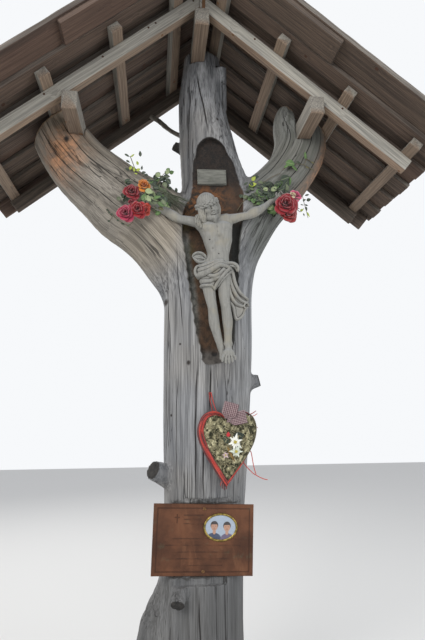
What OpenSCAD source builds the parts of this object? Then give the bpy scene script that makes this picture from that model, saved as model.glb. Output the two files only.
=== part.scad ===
// Wayside shrine: a natural three-armed pine trunk set in the ground as a post. A small
// board roof lies on the ends of its arms and shelters a carved crucifix figure.
// Millimetres. The origin is the centre of the trunk's foot at ground level, the front
// faces -Y and +X is to the viewer's right.

/* [Trunk] */
// Half width of the trunk at mid height
trunk_r = 150; // [130:1:170]
// Reach of the root flare at the left foot, from the axis
flare_reach = 290; // [260:5:310]
// Faces round each limb
limb_sides = 22; // [16:2:28]

/* [Roof] */
// Pitch of the two roof slopes, in degrees
pitch = 39; // [36:0.5:42]
// Sideways place of the ridge, off the trunk's axis
ridge_x = -36; // [-60:1:0]
// Height of the rafters' upper edge at the ridge
apex_z = 2763; // [2740:1:2790]
// Level distance from the ridge to a rafter's end
rafter_reach = 825; // [780:5:860]
// Height of a rafter, square to the slope
rafter_h = 52; // [44:1:60]
// Thickness of a rafter, front to back
rafter_t = 38; // [32:1:46]
// Front face of the front rafters
front_y = -267; // [-280:1:-240]
// Front face of the back rafters
back_y = 292; // [260:1:310]
// Level distance from the ridge to the eave
eave_reach = 883; // [860:1:910]
// Width of a purlin
purlin_w = 56; // [48:1:64]
// Height of a purlin
purlin_h = 72; // [64:1:80]
// Width of a batten along the slope
batten_w = 46; // [38:1:54]
// Thickness of a batten
batten_t = 34; // [28:1:40]
// Thickness of a roof board
board_t = 20; // [16:1:24]
// Width of a lower roof board
board_w = 75; // [65:1:85]
// Distance from one lower board to the next
board_step = 143; // [138:1:148]

/* [Figure] */
// Front to back place of the carved figure's middle
figure_y = -169; // [-176:1:-168]

/* [Plates] */
// Width of the plaque
plaque_w = 356; // [340:1:370]
// Height of the plaque
plaque_h = 240; // [225:1:250]
// Thickness of the plaque
plaque_t = 6; // [4:1:8]
// Clockwise lean of the plaque on the trunk, in degrees
plaque_lean = 2; // [0:0.5:3]

/* [Wreath] */
// Size of the heart-shaped wreath against its drawn outline, 214 mm wide
heart_scale = 1; // [0.9:0.01:1.05]
// Depth of the heart's moss filling
heart_t = 34; // [28:1:40]

/* [Hidden] */

wood_grey = [0.58, 0.57, 0.55];
wood_light = [0.67, 0.65, 0.60];
wood_dark = [0.33, 0.27, 0.23];
carved_grey = [0.70, 0.67, 0.60];

// Stations of each limb: x, y, z of the centre, half width, half depth.
stem_line = [
    [-8, 0, -40, 170, 168], [-12, 0, 300, trunk_r, 152], [-6, 0, 600, 146, 148],
    [-2, 0, 810, trunk_r, 150], [6, 0, 1100, 166, 160], [12, 0, 1350, 174, 168],
    [14, 0, 1600, 176, 170], [16, 0, 1780, 180, 170], [40, 0, 1950, 146, 150],
    [48, 0, 2050, 139, 140], [28, 0, 2170, 124, 124], [12, 0, 2275, 114, 112],
    [-2, 0, 2370, 104, 100], [-8, 0, 2460, 98, 90], [-6, 0, 2550, 88, 80],
    [-6, 0, 2660, 76, 68]
];
left_line = [
    [10, 0, 1600, 150, 150], [-62, 0, 1740, 168, 158], [-150, 0, 1850, 160, 156],
    [-226, 0, 1922, 160, 152], [-313, 0, 1974, 151, 147], [-378, 0, 2030, 140, 136],
    [-478, 0, 2116, 127, 126], [-540, 0, 2190, 119, 120], [-588, 0, 2264, 110, 116],
    [-626, 0, 2345, 102, 110]
];
right_line = [
    [20, 0, 1600, 150, 150], [100, 0, 1780, 130, 146], [168, 0, 1900, 122, 138],
    [226, 0, 1985, 117, 128], [304, 0, 2062, 107, 118], [376, 0, 2150, 102, 110],
    [418, 0, 2235, 108, 106], [426, 0, 2295, 109, 104], [408, 0, 2350, 96, 95],
    [398, 0, 2388, 82, 76], [394, 0, 2404, 64, 54]
];
flare_line = [
    [140 - flare_reach, 6, -40, 140, 140], [-136, 4, 200, 125, 124], [-130, 2, 370, 110, 116],
    [-92, 0, 500, 82, 102], [-56, 0, 650, 66, 90]
];
// Niche stations: x, z and half width of each round of the carved hollow, and its floor's y.
niche_line = [
    [26, 2176, 58, -92], [34, 2095, 88, -100], [44, 2000, 105, -108],
    [22, 1880, 114, -118], [18, 1800, 110, -126], [21, 1700, 101, -132],
    [30, 1580, 91, -138], [36, 1430, 75, -142], [37, 1345, 56, -142]
];
// Where the niche's back meets the ledge below it, as y and z, and the ledge's slope in degrees.
niche_ledge = [-142, 1354];
ledge_slope = 58;
plaque_seat_y = -122;
plaque_x = -16;
plaque_z = 700;
purlin_xs = [ridge_x + 8, -512, 412];
purlin_zs = [2603, 2222, 2258];
purlin_front = -290;
purlin_back = 345;
batten_at = [81, 306, 555, 800];
batten_front = -335;
batten_back = 350;
lower_front = -355;
cover_w = 100;
verge_front = -480;
verge_strip_reach = 461;
roof_back = 372;
medal_x = 60;
medal_z = 42;
heart_y = -176;
heart_middle = [66, 1030];
// Each half of the heart's outline, from its middle: the notch, the lobe and down to the point.
heart_left = [[4, 84], [-22, 110], [-55, 117], [-90, 98], [-107, 52], [-100, 6], [-74, -46], [-38, -104], [-6, -149]];
heart_right = [[-6, -149], [32, -100], [72, -42], [99, 10], [107, 57], [93, 97], [60, 115], [28, 107], [4, 84]];
// Mean width of the raffia, and how far the filling lies to the right and up in it.
raffia_w = 13;
heart_shift = [8, 3];
// The routes of the two loose ends of raffia, from inside the wreath to their cut tips.
raffia_end_r = 1.5;
long_route = [
    [121, -177, 968], [126, -178, 961], [131, -178, 954], [136, -178, 948], [142, -178, 942],
    [148, -178, 936], [154, -177, 930], [161, -176, 925], [168, -175, 921], [175, -174, 917],
    [182, -173, 913], [189, -172, 910], [196, -171, 907], [203, -170, 905], [210, -169, 904]
];
short_route = [
    [145, -177, 1008], [150, -178, 1002], [152, -178, 996], [153, -178, 990], [154, -178, 984],
    [155, -178, 978], [156, -177, 972], [157, -177, 966], [158, -176, 960], [159, -176, 954],
    [161, -175, 948], [162, -175, 942], [164, -174, 936], [166, -174, 930], [168, -173, 924]
];

// A point of a curve through four stations, at t from the second to the third.
function between(a, b, c, d, t) =
    0.5 * ((2 * b) + (c - a) * t + (2 * a - 5 * b + 4 * c - d) * t * t
    + (3 * b - a - 3 * c + d) * t * t * t);

// All the stations of a line, with steps curve points from each one to the next.
function curve(line, steps) = let (n = len(line)) [
    for (i = [0 : n - 2], k = [0 : steps - 1])
        between(line[max(i - 1, 0)], line[i], line[i + 1], line[min(i + 2, n - 1)], k / steps),
    line[n - 1]
];

function unit(v) = v / norm(v);

// The ring of points round one station: an oval with shallow lobes, square to the line.
function ring(s, way, sides, lobe, phase) =
    let (side = unit(cross([0, 1, 0], way)), fore = unit(cross(way, side)))
    [for (k = [0 : sides - 1])
        let (a = 360 * k / sides, swell = 1 + lobe * sin(3 * a + phase) + lobe / 2 * cos(5 * a - phase))
        [s[0], s[1], s[2]] + swell * (s[3] * cos(a) * side - s[4] * sin(a) * fore)];

// A limb of the tree: rings along a smooth line of stations, closed at both ends.
module limb(line, steps = 3, sides = limb_sides, lobe = 0.015, phase = 0) {
    path = curve(line, steps);
    n = len(path);
    at = function(i) [path[i][0], path[i][1], path[i][2]];
    rings = [for (i = [0 : n - 1])
        ring(path[i], unit(at(min(i + 1, n - 1)) - at(max(i - 1, 0))), sides, lobe, phase + 90 * i / n)];
    points = [for (r = rings) each r];
    walls = [for (i = [0 : n - 2], k = [0 : sides - 1]) let (j = (k + 1) % sides)
        each [[i * sides + k, i * sides + j, (i + 1) * sides + k],
              [i * sides + j, (i + 1) * sides + j, (i + 1) * sides + k]]];
    foot = [for (k = [sides - 1 : -1 : 0]) k];
    tip = [for (k = [0 : sides - 1]) (n - 1) * sides + k];
    polyhedron(points, concat([foot], walls, [tip]));
}

// A sawn branch stub from a to b.
module stub(a, b, ra, rb) {
    hull() {
        translate(a) sphere(ra, $fn = 14);
        way = b - a;
        translate(b) rotate([0, acos(way[2] / norm(way)), atan2(way[1], way[0])])
            cylinder(h = 3, r = rb, center = true, $fn = 16);
    }
}

// The hollow carved for the figure: rounds cut from the front, joined in a chain.
module niche() {
    module round_at(s) {
        translate([s[0], s[3], s[1]]) rotate([90, 0, 0])
            cylinder(h = 200, r = s[2], $fn = 26);
    }
    difference() {
        for (i = [0 : len(niche_line) - 2])
            hull() {
                round_at(niche_line[i]);
                round_at(niche_line[i + 1]);
            }
        // The wood of the ledge, which slopes down to the front
        translate([0, niche_ledge[0], niche_ledge[1]]) rotate([ledge_slope, 0, 0])
            translate([-200, -400, -300]) cube([400, 600, 300]);
    }
}

// The bed that a purlin lies in on its arm.
module purlin_bed(i) {
    translate([purlin_xs[i] - purlin_w / 2 - 1, -300, purlin_zs[i]]) cube([purlin_w + 2, 700, 400]);
}

module left_arm() {
    limb(left_line, 2, lobe = 0.02, phase = 140);
}

module right_arm() {
    limb(right_line, 2, lobe = 0.02, phase = 250);
}

module trunk() {
    color(wood_grey) difference() {
        union() {
            limb(stem_line, 2, lobe = 0.018, phase = 20);
            left_arm();
            right_arm();
            limb(flare_line, 2, sides = 14, lobe = 0.03);
            // Cut side branch at the top right of the middle stem
            stub([78, -10, 2440], [74, -62, 2590], 22, 21);
            // Branch stubs: back left, left, right and below the plaque
            stub([-60, 40, 2240], [-122, 42, 2274], 22, 19);
            stub([-120, -50, 900], [-196, -104, 938], 44, 33);
            stub([130, -20, 1240], [214, -40, 1262], 36, 24);
            stub([-92, -105, 560], [-108, -172, 502], 32, 25);
        }
        niche();
        for (i = [0 : 2]) purlin_bed(i);
        // Flat seat behind the plaque
        translate([-260, plaque_seat_y - 100, 552]) cube([520, 100, 288]);
        // The arms' tops, hewn to lie under the battens
        for (side = [-1, 1]) on_slope(side) translate([0, -400, -2]) cube([1200, 800, 500]);
        translate([-900, -500, -200]) cube([1800, 1000, 200]);
    }
}

module purlin(i) {
    color(wood_light) translate([purlin_xs[i] - purlin_w / 2, purlin_front, purlin_zs[i]])
        cube([purlin_w, purlin_back - purlin_front, purlin_h]);
}

// Places a child on a slope: its x runs down the slope and its z stands square to it.
module on_slope(side) {
    translate([ridge_x, 0, apex_z]) mirror([side < 0 ? 1 : 0, 0, 0]) rotate([0, pitch, 0]) children();
}

// A timber along the slope from the plumb cut at the ridge to its end.
module sloping(side, y0, y1, low, high, reach, start = 0) {
    plumb = function(n) start > 0 ? start / cos(pitch) : 0.5 - n * tan(pitch);
    end = reach / cos(pitch);
    on_slope(side) translate([0, y1, 0]) rotate([90, 0, 0]) linear_extrude(y1 - y0)
        polygon([[plumb(low), low], [end, low], [end, high], [plumb(high), high]]);
}

module rafter(side, y) {
    color(wood_light) difference() {
        sloping(side, y, y + rafter_t, -rafter_h, 0, rafter_reach);
        for (i = [0 : 2])
            translate([purlin_xs[i] - purlin_w / 2, y - 1, purlin_zs[i]])
                cube([purlin_w, rafter_t + 2, purlin_h]);
    }
}

module battens(side) {
    color(wood_light) for (d = batten_at)
        on_slope(side) translate([d / cos(pitch) - batten_w / 2, batten_front, 0])
            cube([batten_w, batten_back - batten_front, batten_t]);
}

module lower_boards(side) {
    color(wood_dark) for (k = [0 : 4])
        sloping(side, lower_front + k * board_step, lower_front + k * board_step + board_w,
            batten_t, batten_t + board_t, eave_reach);
}

module cover_boards(side) {
    low = batten_t + board_t;
    gap = board_step - board_w;
    color(wood_dark) {
        sloping(side, verge_front, lower_front + 15, low, low + board_t, eave_reach);
        for (k = [0 : 3]) {
            middle = lower_front + board_w + gap / 2 + k * board_step;
            sloping(side, middle - cover_w / 2, middle + cover_w / 2, low, low + board_t, eave_reach);
        }
        sloping(side, lower_front + 4 * board_step + board_w - 15, roof_back, low, low + board_t, eave_reach);
    }
}

module verge_strip(side) {
    color(wood_dark)
        sloping(side, verge_front + 6, lower_front - 8, batten_t - 2, batten_t + board_t, verge_strip_reach);
}

module ridge_board(side) {
    low = batten_t + 2 * board_t;
    color(wood_dark) sloping(side, verge_front - 8, roof_back + 8, low, low + board_t, 112);
}

module brace_pole() {
    a = [-224, 270, 2542];
    b = [-44, 104, 2322];
    way = b - a;
    color(wood_grey) translate(a) rotate([0, acos(way[2] / norm(way)), atan2(way[1], way[0])])
        cylinder(h = norm(way), r = 11, $fn = 20);
}

// A round-ended link of the carved figure.
module link(a, b, ra, rb) {
    hull() {
        translate(a) sphere(ra, $fn = 14);
        translate(b) sphere(rb, $fn = 14);
    }
}

module figure_body() {
    y = figure_y;
    color(carved_grey) {
        // Head, neck and chest
        link([-10, y - 22, 1912], [2, y - 34, 1884], 44, 34);
        link([2, y - 14, 1872], [22, y, 1840], 26, 28);
        hull() {
            translate([-22, y, 1830]) sphere(30, $fn = 14);
            translate([72, y, 1862]) sphere(28, $fn = 14);
            translate([0, y, 1770]) sphere(36, $fn = 14);
            translate([62, y, 1770]) sphere(36, $fn = 14);
        }
        hull() {
            translate([16, y, 1770]) sphere(40, $fn = 14);
            translate([56, y, 1770]) sphere(40, $fn = 14);
            translate([38, y, 1690]) sphere(36, $fn = 14);
        }
        hull() {
            translate([38, y, 1700]) sphere(36, $fn = 14);
            translate([8, y, 1640]) sphere(34, $fn = 14);
            translate([62, y, 1640]) sphere(34, $fn = 14);
        }
        // Legs, crossed at the feet
        link([6, y, 1640], [10, y - 20, 1524], 34, 22);
        link([10, y - 20, 1524], [52, y - 2, 1372], 22, 14);
        link([62, y, 1640], [62, y - 26, 1530], 34, 22);
        link([62, y - 26, 1530], [70, y - 8, 1382], 22, 14);
        link([52, y - 4, 1372], [62, y - 16, 1330], 15, 12);
        link([70, y - 10, 1382], [74, y - 32, 1324], 16, 13);
    }
}

// The arms, nailed through the hands: their backs are cut to the trunk's arms.
module figure_arms() {
    y = figure_y;
    color(carved_grey) difference() {
        union() {
            link([-58, y + 4, 1846], [-118, y + 8, 1876], 21, 17);
            link([-118, y + 8, 1876], [-206, y + 9, 1924], 16, 11);
            link([-206, y + 9, 1924], [-246, y + 9, 1948], 11, 12);
            link([-250, y + 8, 1950], [-262, y + 9, 1960], 10, 6);
            link([106, y + 8, 1876], [166, y + 18, 1896], 21, 17);
            link([166, y + 18, 1896], [252, y + 37, 1956], 16, 11);
            link([252, y + 37, 1956], [290, y + 42, 1986], 11, 12);
            link([294, y + 43, 1990], [306, y + 46, 2000], 10, 6);
        }
        left_arm();
        right_arm();
        figure_body();
    }
}

module figure_loincloth() {
    y = figure_y;
    color(carved_grey) difference() {
        union() {
            hull() {
                translate([38, y - 2, 1704]) scale([1, 0.9, 0.5]) sphere(46, $fn = 16);
                translate([34, y - 4, 1624]) scale([1, 0.9, 0.5]) sphere(66, $fn = 16);
            }
            link([-20, y - 20, 1700], [-52, y - 8, 1724], 18, 12);
            link([90, y - 14, 1696], [112, y - 8, 1678], 16, 12);
            link([88, y - 8, 1650], [110, y - 6, 1570], 18, 18);
            link([110, y - 6, 1570], [128, y - 4, 1524], 16, 18);
            link([112, y - 6, 1560], [108, y - 4, 1496], 16, 14);
        }
        figure_body();
        trunk_face_clear();
    }
}

// The space of the trunk behind the figure, kept free of its cloth.
module trunk_face_clear() {
    translate([-300, -140, 1200]) cube([700, 300, 900]);
}

module figure_crown() {
    color([0.62, 0.58, 0.52]) difference() {
        translate([-12, figure_y - 24, 1914]) rotate([14, -18, 0])
            rotate_extrude($fn = 28) translate([46, 0]) circle(8, $fn = 10);
        figure_body();
    }
}

module tablet() {
    color(wood_grey) translate([25, -102, 2065]) rotate([-6, -1, 0]) translate([-58, -12, -33])
        cube([116, 12, 66]);
}

// Places a child on the plaque's front face, with z as its height above that face.
module on_plaque(x, z) {
    translate([plaque_x, plaque_seat_y - plaque_t, plaque_z]) rotate([0, plaque_lean, 0])
        translate([x, 0, z]) rotate([90, 0, 0]) children();
}

module plaque() {
    color([0.45, 0.28, 0.19]) on_plaque(0, 0) translate([0, 0, -plaque_t / 2])
        cube([plaque_w, plaque_h, plaque_t], center = true);
}

module plaque_screws() {
    color([0.35, 0.30, 0.25]) for (z = [-1, 1])
        on_plaque(2, z * (plaque_h / 2 - 16)) cylinder(h = 3, r = 6, $fn = 24);
}

module medallion_ring() {
    color([0.60, 0.50, 0.25]) on_plaque(medal_x, medal_z) linear_extrude(5) difference() {
        scale([61, 48]) circle(1, $fn = 48);
        scale([54, 41]) circle(1, $fn = 48);
    }
}

module medallion_picture() {
    color([0.80, 0.85, 0.88]) on_plaque(medal_x, medal_z) linear_extrude(4)
        scale([53.6, 40.6]) circle(1, $fn = 48);
}

// All points of a smooth line but its last.
function open_curve(line, steps) = let (c = curve(line, steps)) [for (i = [0 : len(c) - 2]) c[i]];

module heart_outline(inset = 0) {
    offset(delta = -inset) scale(heart_scale)
        polygon(concat(open_curve(heart_left, 3), open_curve(heart_right, 3)));
}

// Places a child's flat outline upright, its front face at the given y.
module on_heart(y) {
    translate([heart_middle[0], y, heart_middle[1]]) rotate([90, 0, 0]) children();
}

module heart_filling() {
    color([0.51, 0.49, 0.37]) on_heart(heart_y + heart_t / 2) linear_extrude(heart_t)
        translate(heart_shift) heart_outline(raffia_w + 0.5);
}

// The raffia is thicker on the left, and its hanging loop goes up to a nail.
module heart_raffia() {
    color([0.74, 0.20, 0.14]) {
        on_heart(heart_y + 11) linear_extrude(22) difference() {
            heart_outline();
            translate(heart_shift) heart_outline(raffia_w);
        }
        link([4, heart_y + 8, 1209], [16, heart_y - 2, 1142], 2, 3);
        link([10, heart_y + 8, 1209], [30, heart_y - 2, 1140], 2, 3);
    }
}

// A loose end of raffia, as a tube along its route.
module raffia_end(route) {
    color([0.74, 0.20, 0.14]) difference() {
        limb([for (p = route) [p[0], p[1], p[2], raffia_end_r, raffia_end_r]], 1, sides = 8, lobe = 0);
        heart_raffia();
    }
}

module heart_bow() {
    color([0.62, 0.30, 0.36]) {
        for (s = [-1, 1])
            hull() {
                translate([92, heart_y - 32, 1134]) sphere(8, $fn = 12);
                translate([92 + s * 44, heart_y - 32, 1142]) scale([0.6, 0.5, 1]) sphere(30, $fn = 14);
            }
    }
}

module heart_flowers() {
    color([0.88, 0.88, 0.84]) for (p = [[78, 1052], [114, 1034], [86, 1006]])
        translate([p[0], heart_y - heart_t / 2, p[1]]) rotate([90, 0, 0])
            cylinder(h = 12, r1 = 18, r2 = 12, $fn = 18);
}

module rose(x, y, z, r) {
    translate([x, y, z]) scale([1, 0.8, 1]) sphere(r, $fn = 16);
}

module roses_left() {
    color([0.60, 0.12, 0.16]) {
        rose(-286, -186, 1958, 34);
        rose(-241, -186, 1990, 26);
        rose(-309, -186, 1874, 36);
        rose(-258, -188, 1887, 34);
        rose(-284, -190, 1912, 19);
        rose(-230, -188, 1892, 20);
    }
}

module roses_right() {
    color([0.62, 0.10, 0.16]) {
        rose(308, -168, 1938, 48);
        rose(352, -150, 1978, 30);
        rose(338, -148, 1893, 32);
        rose(318, -158, 1984, 17);
    }
}

module leaf_ball(s) {
    translate([s[0], s[1], s[2]]) scale([1, 0.8, 1]) sphere(s[3], $fn = 10);
}

module leaf_cloud(list) {
    for (i = [0 : len(list) - 2])
        hull() {
            leaf_ball(list[i]);
            leaf_ball(list[i + 1]);
        }
}

// The leaves lie on the trunk's arm, round the hand and behind the roses.
module leaves_left() {
    color([0.22, 0.36, 0.18]) difference() {
        leaf_cloud([
            [-309, -156, 1876, 30], [-262, -160, 1890, 28], [-292, -160, 1940, 30], [-285, -158, 1972, 28],
            [-240, -154, 2008, 26], [-200, -146, 1992, 26], [-150, -144, 1958, 22], [-126, -150, 1930, 16]
        ]);
        left_arm();
        roses_left();
        figure_arms();
    }
}

module leaves_right() {
    color([0.22, 0.36, 0.18]) difference() {
        leaf_cloud([
            [165, -116, 2030, 18], [200, -130, 2008, 24], [248, -134, 1998, 26], [292, -132, 2034, 20],
            [300, -124, 1980, 30], [330, -110, 1950, 34], [338, -108, 1900, 24]
        ]);
        right_arm();
        roses_right();
        figure_arms();
    }
}

trunk();
purlin(0);  // ridge_purlin
purlin(1);  // left_purlin
purlin(2);  // right_purlin
rafter(-1, front_y);  // front_rafter_left
rafter(1, front_y);  // front_rafter_right
rafter(-1, back_y);  // back_rafter_left
rafter(1, back_y);  // back_rafter_right
battens(-1);  // battens_left
battens(1);  // battens_right
lower_boards(-1);  // lower_boards_left
lower_boards(1);  // lower_boards_right
cover_boards(-1);  // cover_boards_left
cover_boards(1);  // cover_boards_right
verge_strip(-1);  // verge_strip_left
verge_strip(1);  // verge_strip_right
ridge_board(-1);  // ridge_board_left
ridge_board(1);  // ridge_board_right
brace_pole();
figure_body();
figure_arms();
figure_loincloth();
figure_crown();
tablet();
plaque();
plaque_screws();
medallion_ring();
medallion_picture();
heart_filling();
heart_raffia();
raffia_end(long_route);  // raffia_end_long
raffia_end(short_route);  // raffia_end_short
heart_bow();
heart_flowers();
roses_left();
roses_right();
leaves_left();
leaves_right();
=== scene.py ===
import itertools

import bmesh
import bpy
import numpy as np
from mathutils import Matrix, Vector


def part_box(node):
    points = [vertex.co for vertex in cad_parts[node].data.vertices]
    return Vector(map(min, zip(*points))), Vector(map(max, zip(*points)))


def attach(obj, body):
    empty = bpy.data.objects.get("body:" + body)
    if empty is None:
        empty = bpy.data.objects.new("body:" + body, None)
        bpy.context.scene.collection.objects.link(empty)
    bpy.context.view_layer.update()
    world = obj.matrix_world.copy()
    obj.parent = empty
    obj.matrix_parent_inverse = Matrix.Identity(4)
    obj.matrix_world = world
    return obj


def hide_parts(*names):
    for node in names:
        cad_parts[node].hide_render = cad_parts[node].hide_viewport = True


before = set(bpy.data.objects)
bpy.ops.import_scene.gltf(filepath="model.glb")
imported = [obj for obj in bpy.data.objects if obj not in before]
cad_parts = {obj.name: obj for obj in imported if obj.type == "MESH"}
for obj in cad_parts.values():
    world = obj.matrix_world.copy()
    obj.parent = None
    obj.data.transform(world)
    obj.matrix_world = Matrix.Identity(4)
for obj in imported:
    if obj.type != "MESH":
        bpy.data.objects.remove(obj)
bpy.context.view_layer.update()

# The trunk: one natural stone-pine fork, barked and set upright as a post. Decades of sun have
# turned it silver grey and opened long drying cracks. The niche, the beds of the purlins and the
# plaque's seat are cut into it with a chain saw, an adze and a gouge.

TRUNK_STEP = 0.0072
PITCH = np.radians(39)
RIDGE_X, APEX_Z = -0.036, 2.763
STEM = np.array([
    [-8, 0, -40, 170, 168], [-12, 0, 300, 150, 152], [-6, 0, 600, 146, 148], [-2, 0, 810, 150, 150],
    [6, 0, 1100, 166, 160], [12, 0, 1350, 174, 168], [14, 0, 1600, 176, 170], [16, 0, 1780, 180, 170],
    [40, 0, 1950, 146, 150], [48, 0, 2050, 139, 140], [28, 0, 2170, 124, 124], [12, 0, 2275, 114, 112],
    [-2, 0, 2370, 104, 100], [-8, 0, 2460, 98, 90], [-6, 0, 2550, 88, 80], [-6, 0, 2660, 76, 68],
]) / 1000
LEFT_ARM = np.array([
    [10, 0, 1600, 150, 150], [-62, 0, 1740, 168, 158], [-150, 0, 1850, 160, 156], [-226, 0, 1922, 160, 152],
    [-313, 0, 1974, 151, 147], [-378, 0, 2030, 140, 136], [-478, 0, 2116, 127, 126],
    [-540, 0, 2190, 119, 120], [-588, 0, 2264, 110, 116], [-626, 0, 2345, 102, 110],
]) / 1000
RIGHT_ARM = np.array([
    [20, 0, 1600, 150, 150], [100, 0, 1780, 130, 146], [168, 0, 1900, 122, 138], [226, 0, 1985, 117, 128],
    [304, 0, 2062, 107, 118], [376, 0, 2150, 102, 110], [418, 0, 2235, 108, 106], [426, 0, 2295, 109, 104],
    [408, 0, 2350, 96, 95], [398, 0, 2388, 82, 76], [394, 0, 2404, 64, 54],
]) / 1000
FLARE = np.array([
    [-150, 6, -40, 140, 140], [-136, 4, 200, 125, 124], [-130, 2, 370, 110, 116], [-92, 0, 500, 82, 102],
    [-56, 0, 650, 66, 90],
]) / 1000
NICHE = np.array([
    [26, 2176, 58, -92], [34, 2095, 88, -100], [44, 2000, 105, -108], [22, 1880, 114, -118],
    [18, 1800, 110, -126], [21, 1700, 101, -132], [30, 1580, 91, -138], [36, 1430, 75, -142],
    [37, 1345, 56, -142],
]) / 1000
NICHE_LEDGE, LEDGE_SLOPE = (-0.142, 1.354), np.radians(58)
# Each sawn branch: its root, its sawn end, and the radius at both.
BRANCHES = [
    ((0.078, -0.010, 2.440), (0.074, -0.062, 2.590), 0.022, 0.021),
    ((-0.060, 0.040, 2.240), (-0.122, 0.042, 2.274), 0.022, 0.019),
    ((-0.120, -0.050, 0.900), (-0.196, -0.104, 0.938), 0.044, 0.033),
    ((0.130, -0.020, 1.240), (0.214, -0.040, 1.262), 0.036, 0.024),
    ((-0.092, -0.105, 0.560), (-0.108, -0.172, 0.502), 0.032, 0.025),
]
PURLINS = [(-0.028, 2.603), (-0.512, 2.222), (0.412, 2.258)]
PURLIN_W, PURLIN_H = 0.056, 0.072
PLAQUE_SEAT_Y, SEAT_MIDDLE, SEAT_HALF = -0.122, 0.696, 0.144
STEM_TOP, BED_GAP, UNDER_BOARDS = 2.66, 0.001, 0.003
FORK_FILLET, FLARE_FILLET, BRANCH_FILLET, NICHE_ARRIS = 0.034, 0.05, 0.016, 0.007


def srgb(red, green, blue):
    """A colour given as seen on a screen, 0 to 255, as the linear values that a shader takes."""
    c = np.array([red, green, blue]) / 255
    return tuple(np.where(c <= 0.04045, c / 12.92, ((c + 0.055) / 1.055) ** 2.4)) + (1.0,)


def ease(x, low, high):
    """0 below low, 1 above high, and the smooth cubic 3t^2 - 2t^3 between them."""
    t = np.clip((x - low) / (high - low), 0, 1)
    return t * t * (3 - 2 * t)


def soft_min(a, b, reach):
    """The lesser of two distances, rounded off over reach where they cross, as a fillet."""
    h = np.clip(0.5 + 0.5 * (b - a) / reach, 0, 1)
    return b + (a - b) * h - reach * h * (1 - h)


def soft_max(a, b, reach):
    """The larger of two fields, as soft_min of both with their signs turned."""
    return -soft_min(-a, -b, reach)


def smooth_line(stations, steps):
    """Catmull-Rom curve through the stations: a cubic between each two, whose slope at a station is
    half the way from the one before it to the one after it."""
    stations = np.asarray(stations, float)
    ends = np.vstack([stations[:1], stations, stations[-1:]])
    a, b, c, d = ends[:-3, None], ends[1:-2, None], ends[2:-1, None], ends[3:, None]
    t = (np.arange(steps) / steps)[None, :, None]
    points = 0.5 * (2 * b + (c - a) * t + (2 * a - 5 * b + 4 * c - d) * t ** 2
                    + (3 * b - a - 3 * c + d) * t ** 3)
    return np.vstack([points.reshape(-1, stations.shape[1]), stations[-1:]])


def lumps(at, size, seed):
    """Smooth noise from -1 to 1: random values at the corners of a lattice of the given cell size,
    eased from corner to corner by the cubic 3t^2 - 2t^3."""
    table = np.random.default_rng(seed).uniform(-1, 1, 4096)
    q = np.asarray(at, float) / np.asarray(size, float)
    base = np.floor(q).astype(np.int64)
    f = q - base
    f = f * f * (3 - 2 * f)
    total = 0
    for corner in itertools.product((0, 1), repeat=3):
        cell = base + np.array(corner)
        key = (cell[..., 0] * 73856093 ^ cell[..., 1] * 19349663 ^ cell[..., 2] * 83492791) & 4095
        total = total + np.prod(np.where(corner, f, 1 - f), axis=-1) * table[key]
    return total


def unit(way):
    """Each vector divided by its own length."""
    return way / np.linalg.norm(way, axis=-1, keepdims=True)


def vectors(*parts):
    """Vectors from their parts, each of which is repeated where the others are larger."""
    return np.stack(np.broadcast_arrays(*parts), axis=-1)


def beside(x, z, p, q):
    """How far along the line from p to q a place of the front lies, and its distance from it."""
    way = q[:2] - p[:2]
    t = np.clip(((x - p[0]) * way[0] + (z - p[1]) * way[1]) / (way @ way), 0, 1)
    return t, np.hypot(x - p[0] - t * way[0], z - p[1] - t * way[1])


def limb_section(x, z, stations):
    """For points of the plane in which a limb lies: how far to its side they are and how far along
    it, with the section's half width, half depth and middle there, from the nearest stretch."""
    line = smooth_line(stations, 3)
    best = np.full(np.broadcast(x, z).shape, np.inf)
    side, along, wide, deep, mid, turn = (np.zeros_like(best) for _ in range(6))
    run = 0.0
    for i, (p, q) in enumerate(zip(line[:-1], line[1:])):
        way = np.array([q[0] - p[0], q[2] - p[2]])
        length = np.hypot(*way)
        way /= length
        t = np.clip(((x - p[0]) * way[0] + (z - p[2]) * way[1]) / length, 0, 1)
        off_x, off_z = x - p[0] - t * length * way[0], z - p[2] - t * length * way[1]
        w = off_x * way[1] - off_z * way[0]
        e = off_x * way[0] + off_z * way[1]
        a = p[3] + (q[3] - p[3]) * t
        reach = np.hypot(w, e) / a
        near = reach < best
        for kept, value in ((best, reach), (side, np.where(w < 0, -1, 1) * np.hypot(w, e)),
                            (along, run + t * length + e), (wide, a), (deep, p[4] + (q[4] - p[4]) * t),
                            (mid, p[1] + (q[1] - p[1]) * t),
                            (turn, np.full(best.shape, (i + t) / len(line)))):
            kept[near] = np.broadcast_to(value, best.shape)[near]
        run += length
    return side, along, wide, deep, mid, turn


def limb_distance(y, section, lobe, phase):
    """Distance from an oval section with shallow lobes, (radius ratio - swell) x mean radius, with
    swell = 1 + lobe sin(3 angle + phase) + lobe/2 cos(5 angle - phase)."""
    side, _, wide, deep, mid, turn = section
    u, v = side / wide, (y - mid) / deep
    angle = np.arctan2(-v, u)
    shift = np.radians(phase + 90 * turn)
    swell = 1 + lobe * np.sin(3 * angle + shift) + lobe / 2 * np.cos(5 * angle - shift)
    return (np.hypot(u, v) - swell) * 0.5 * (wide + deep)


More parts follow.
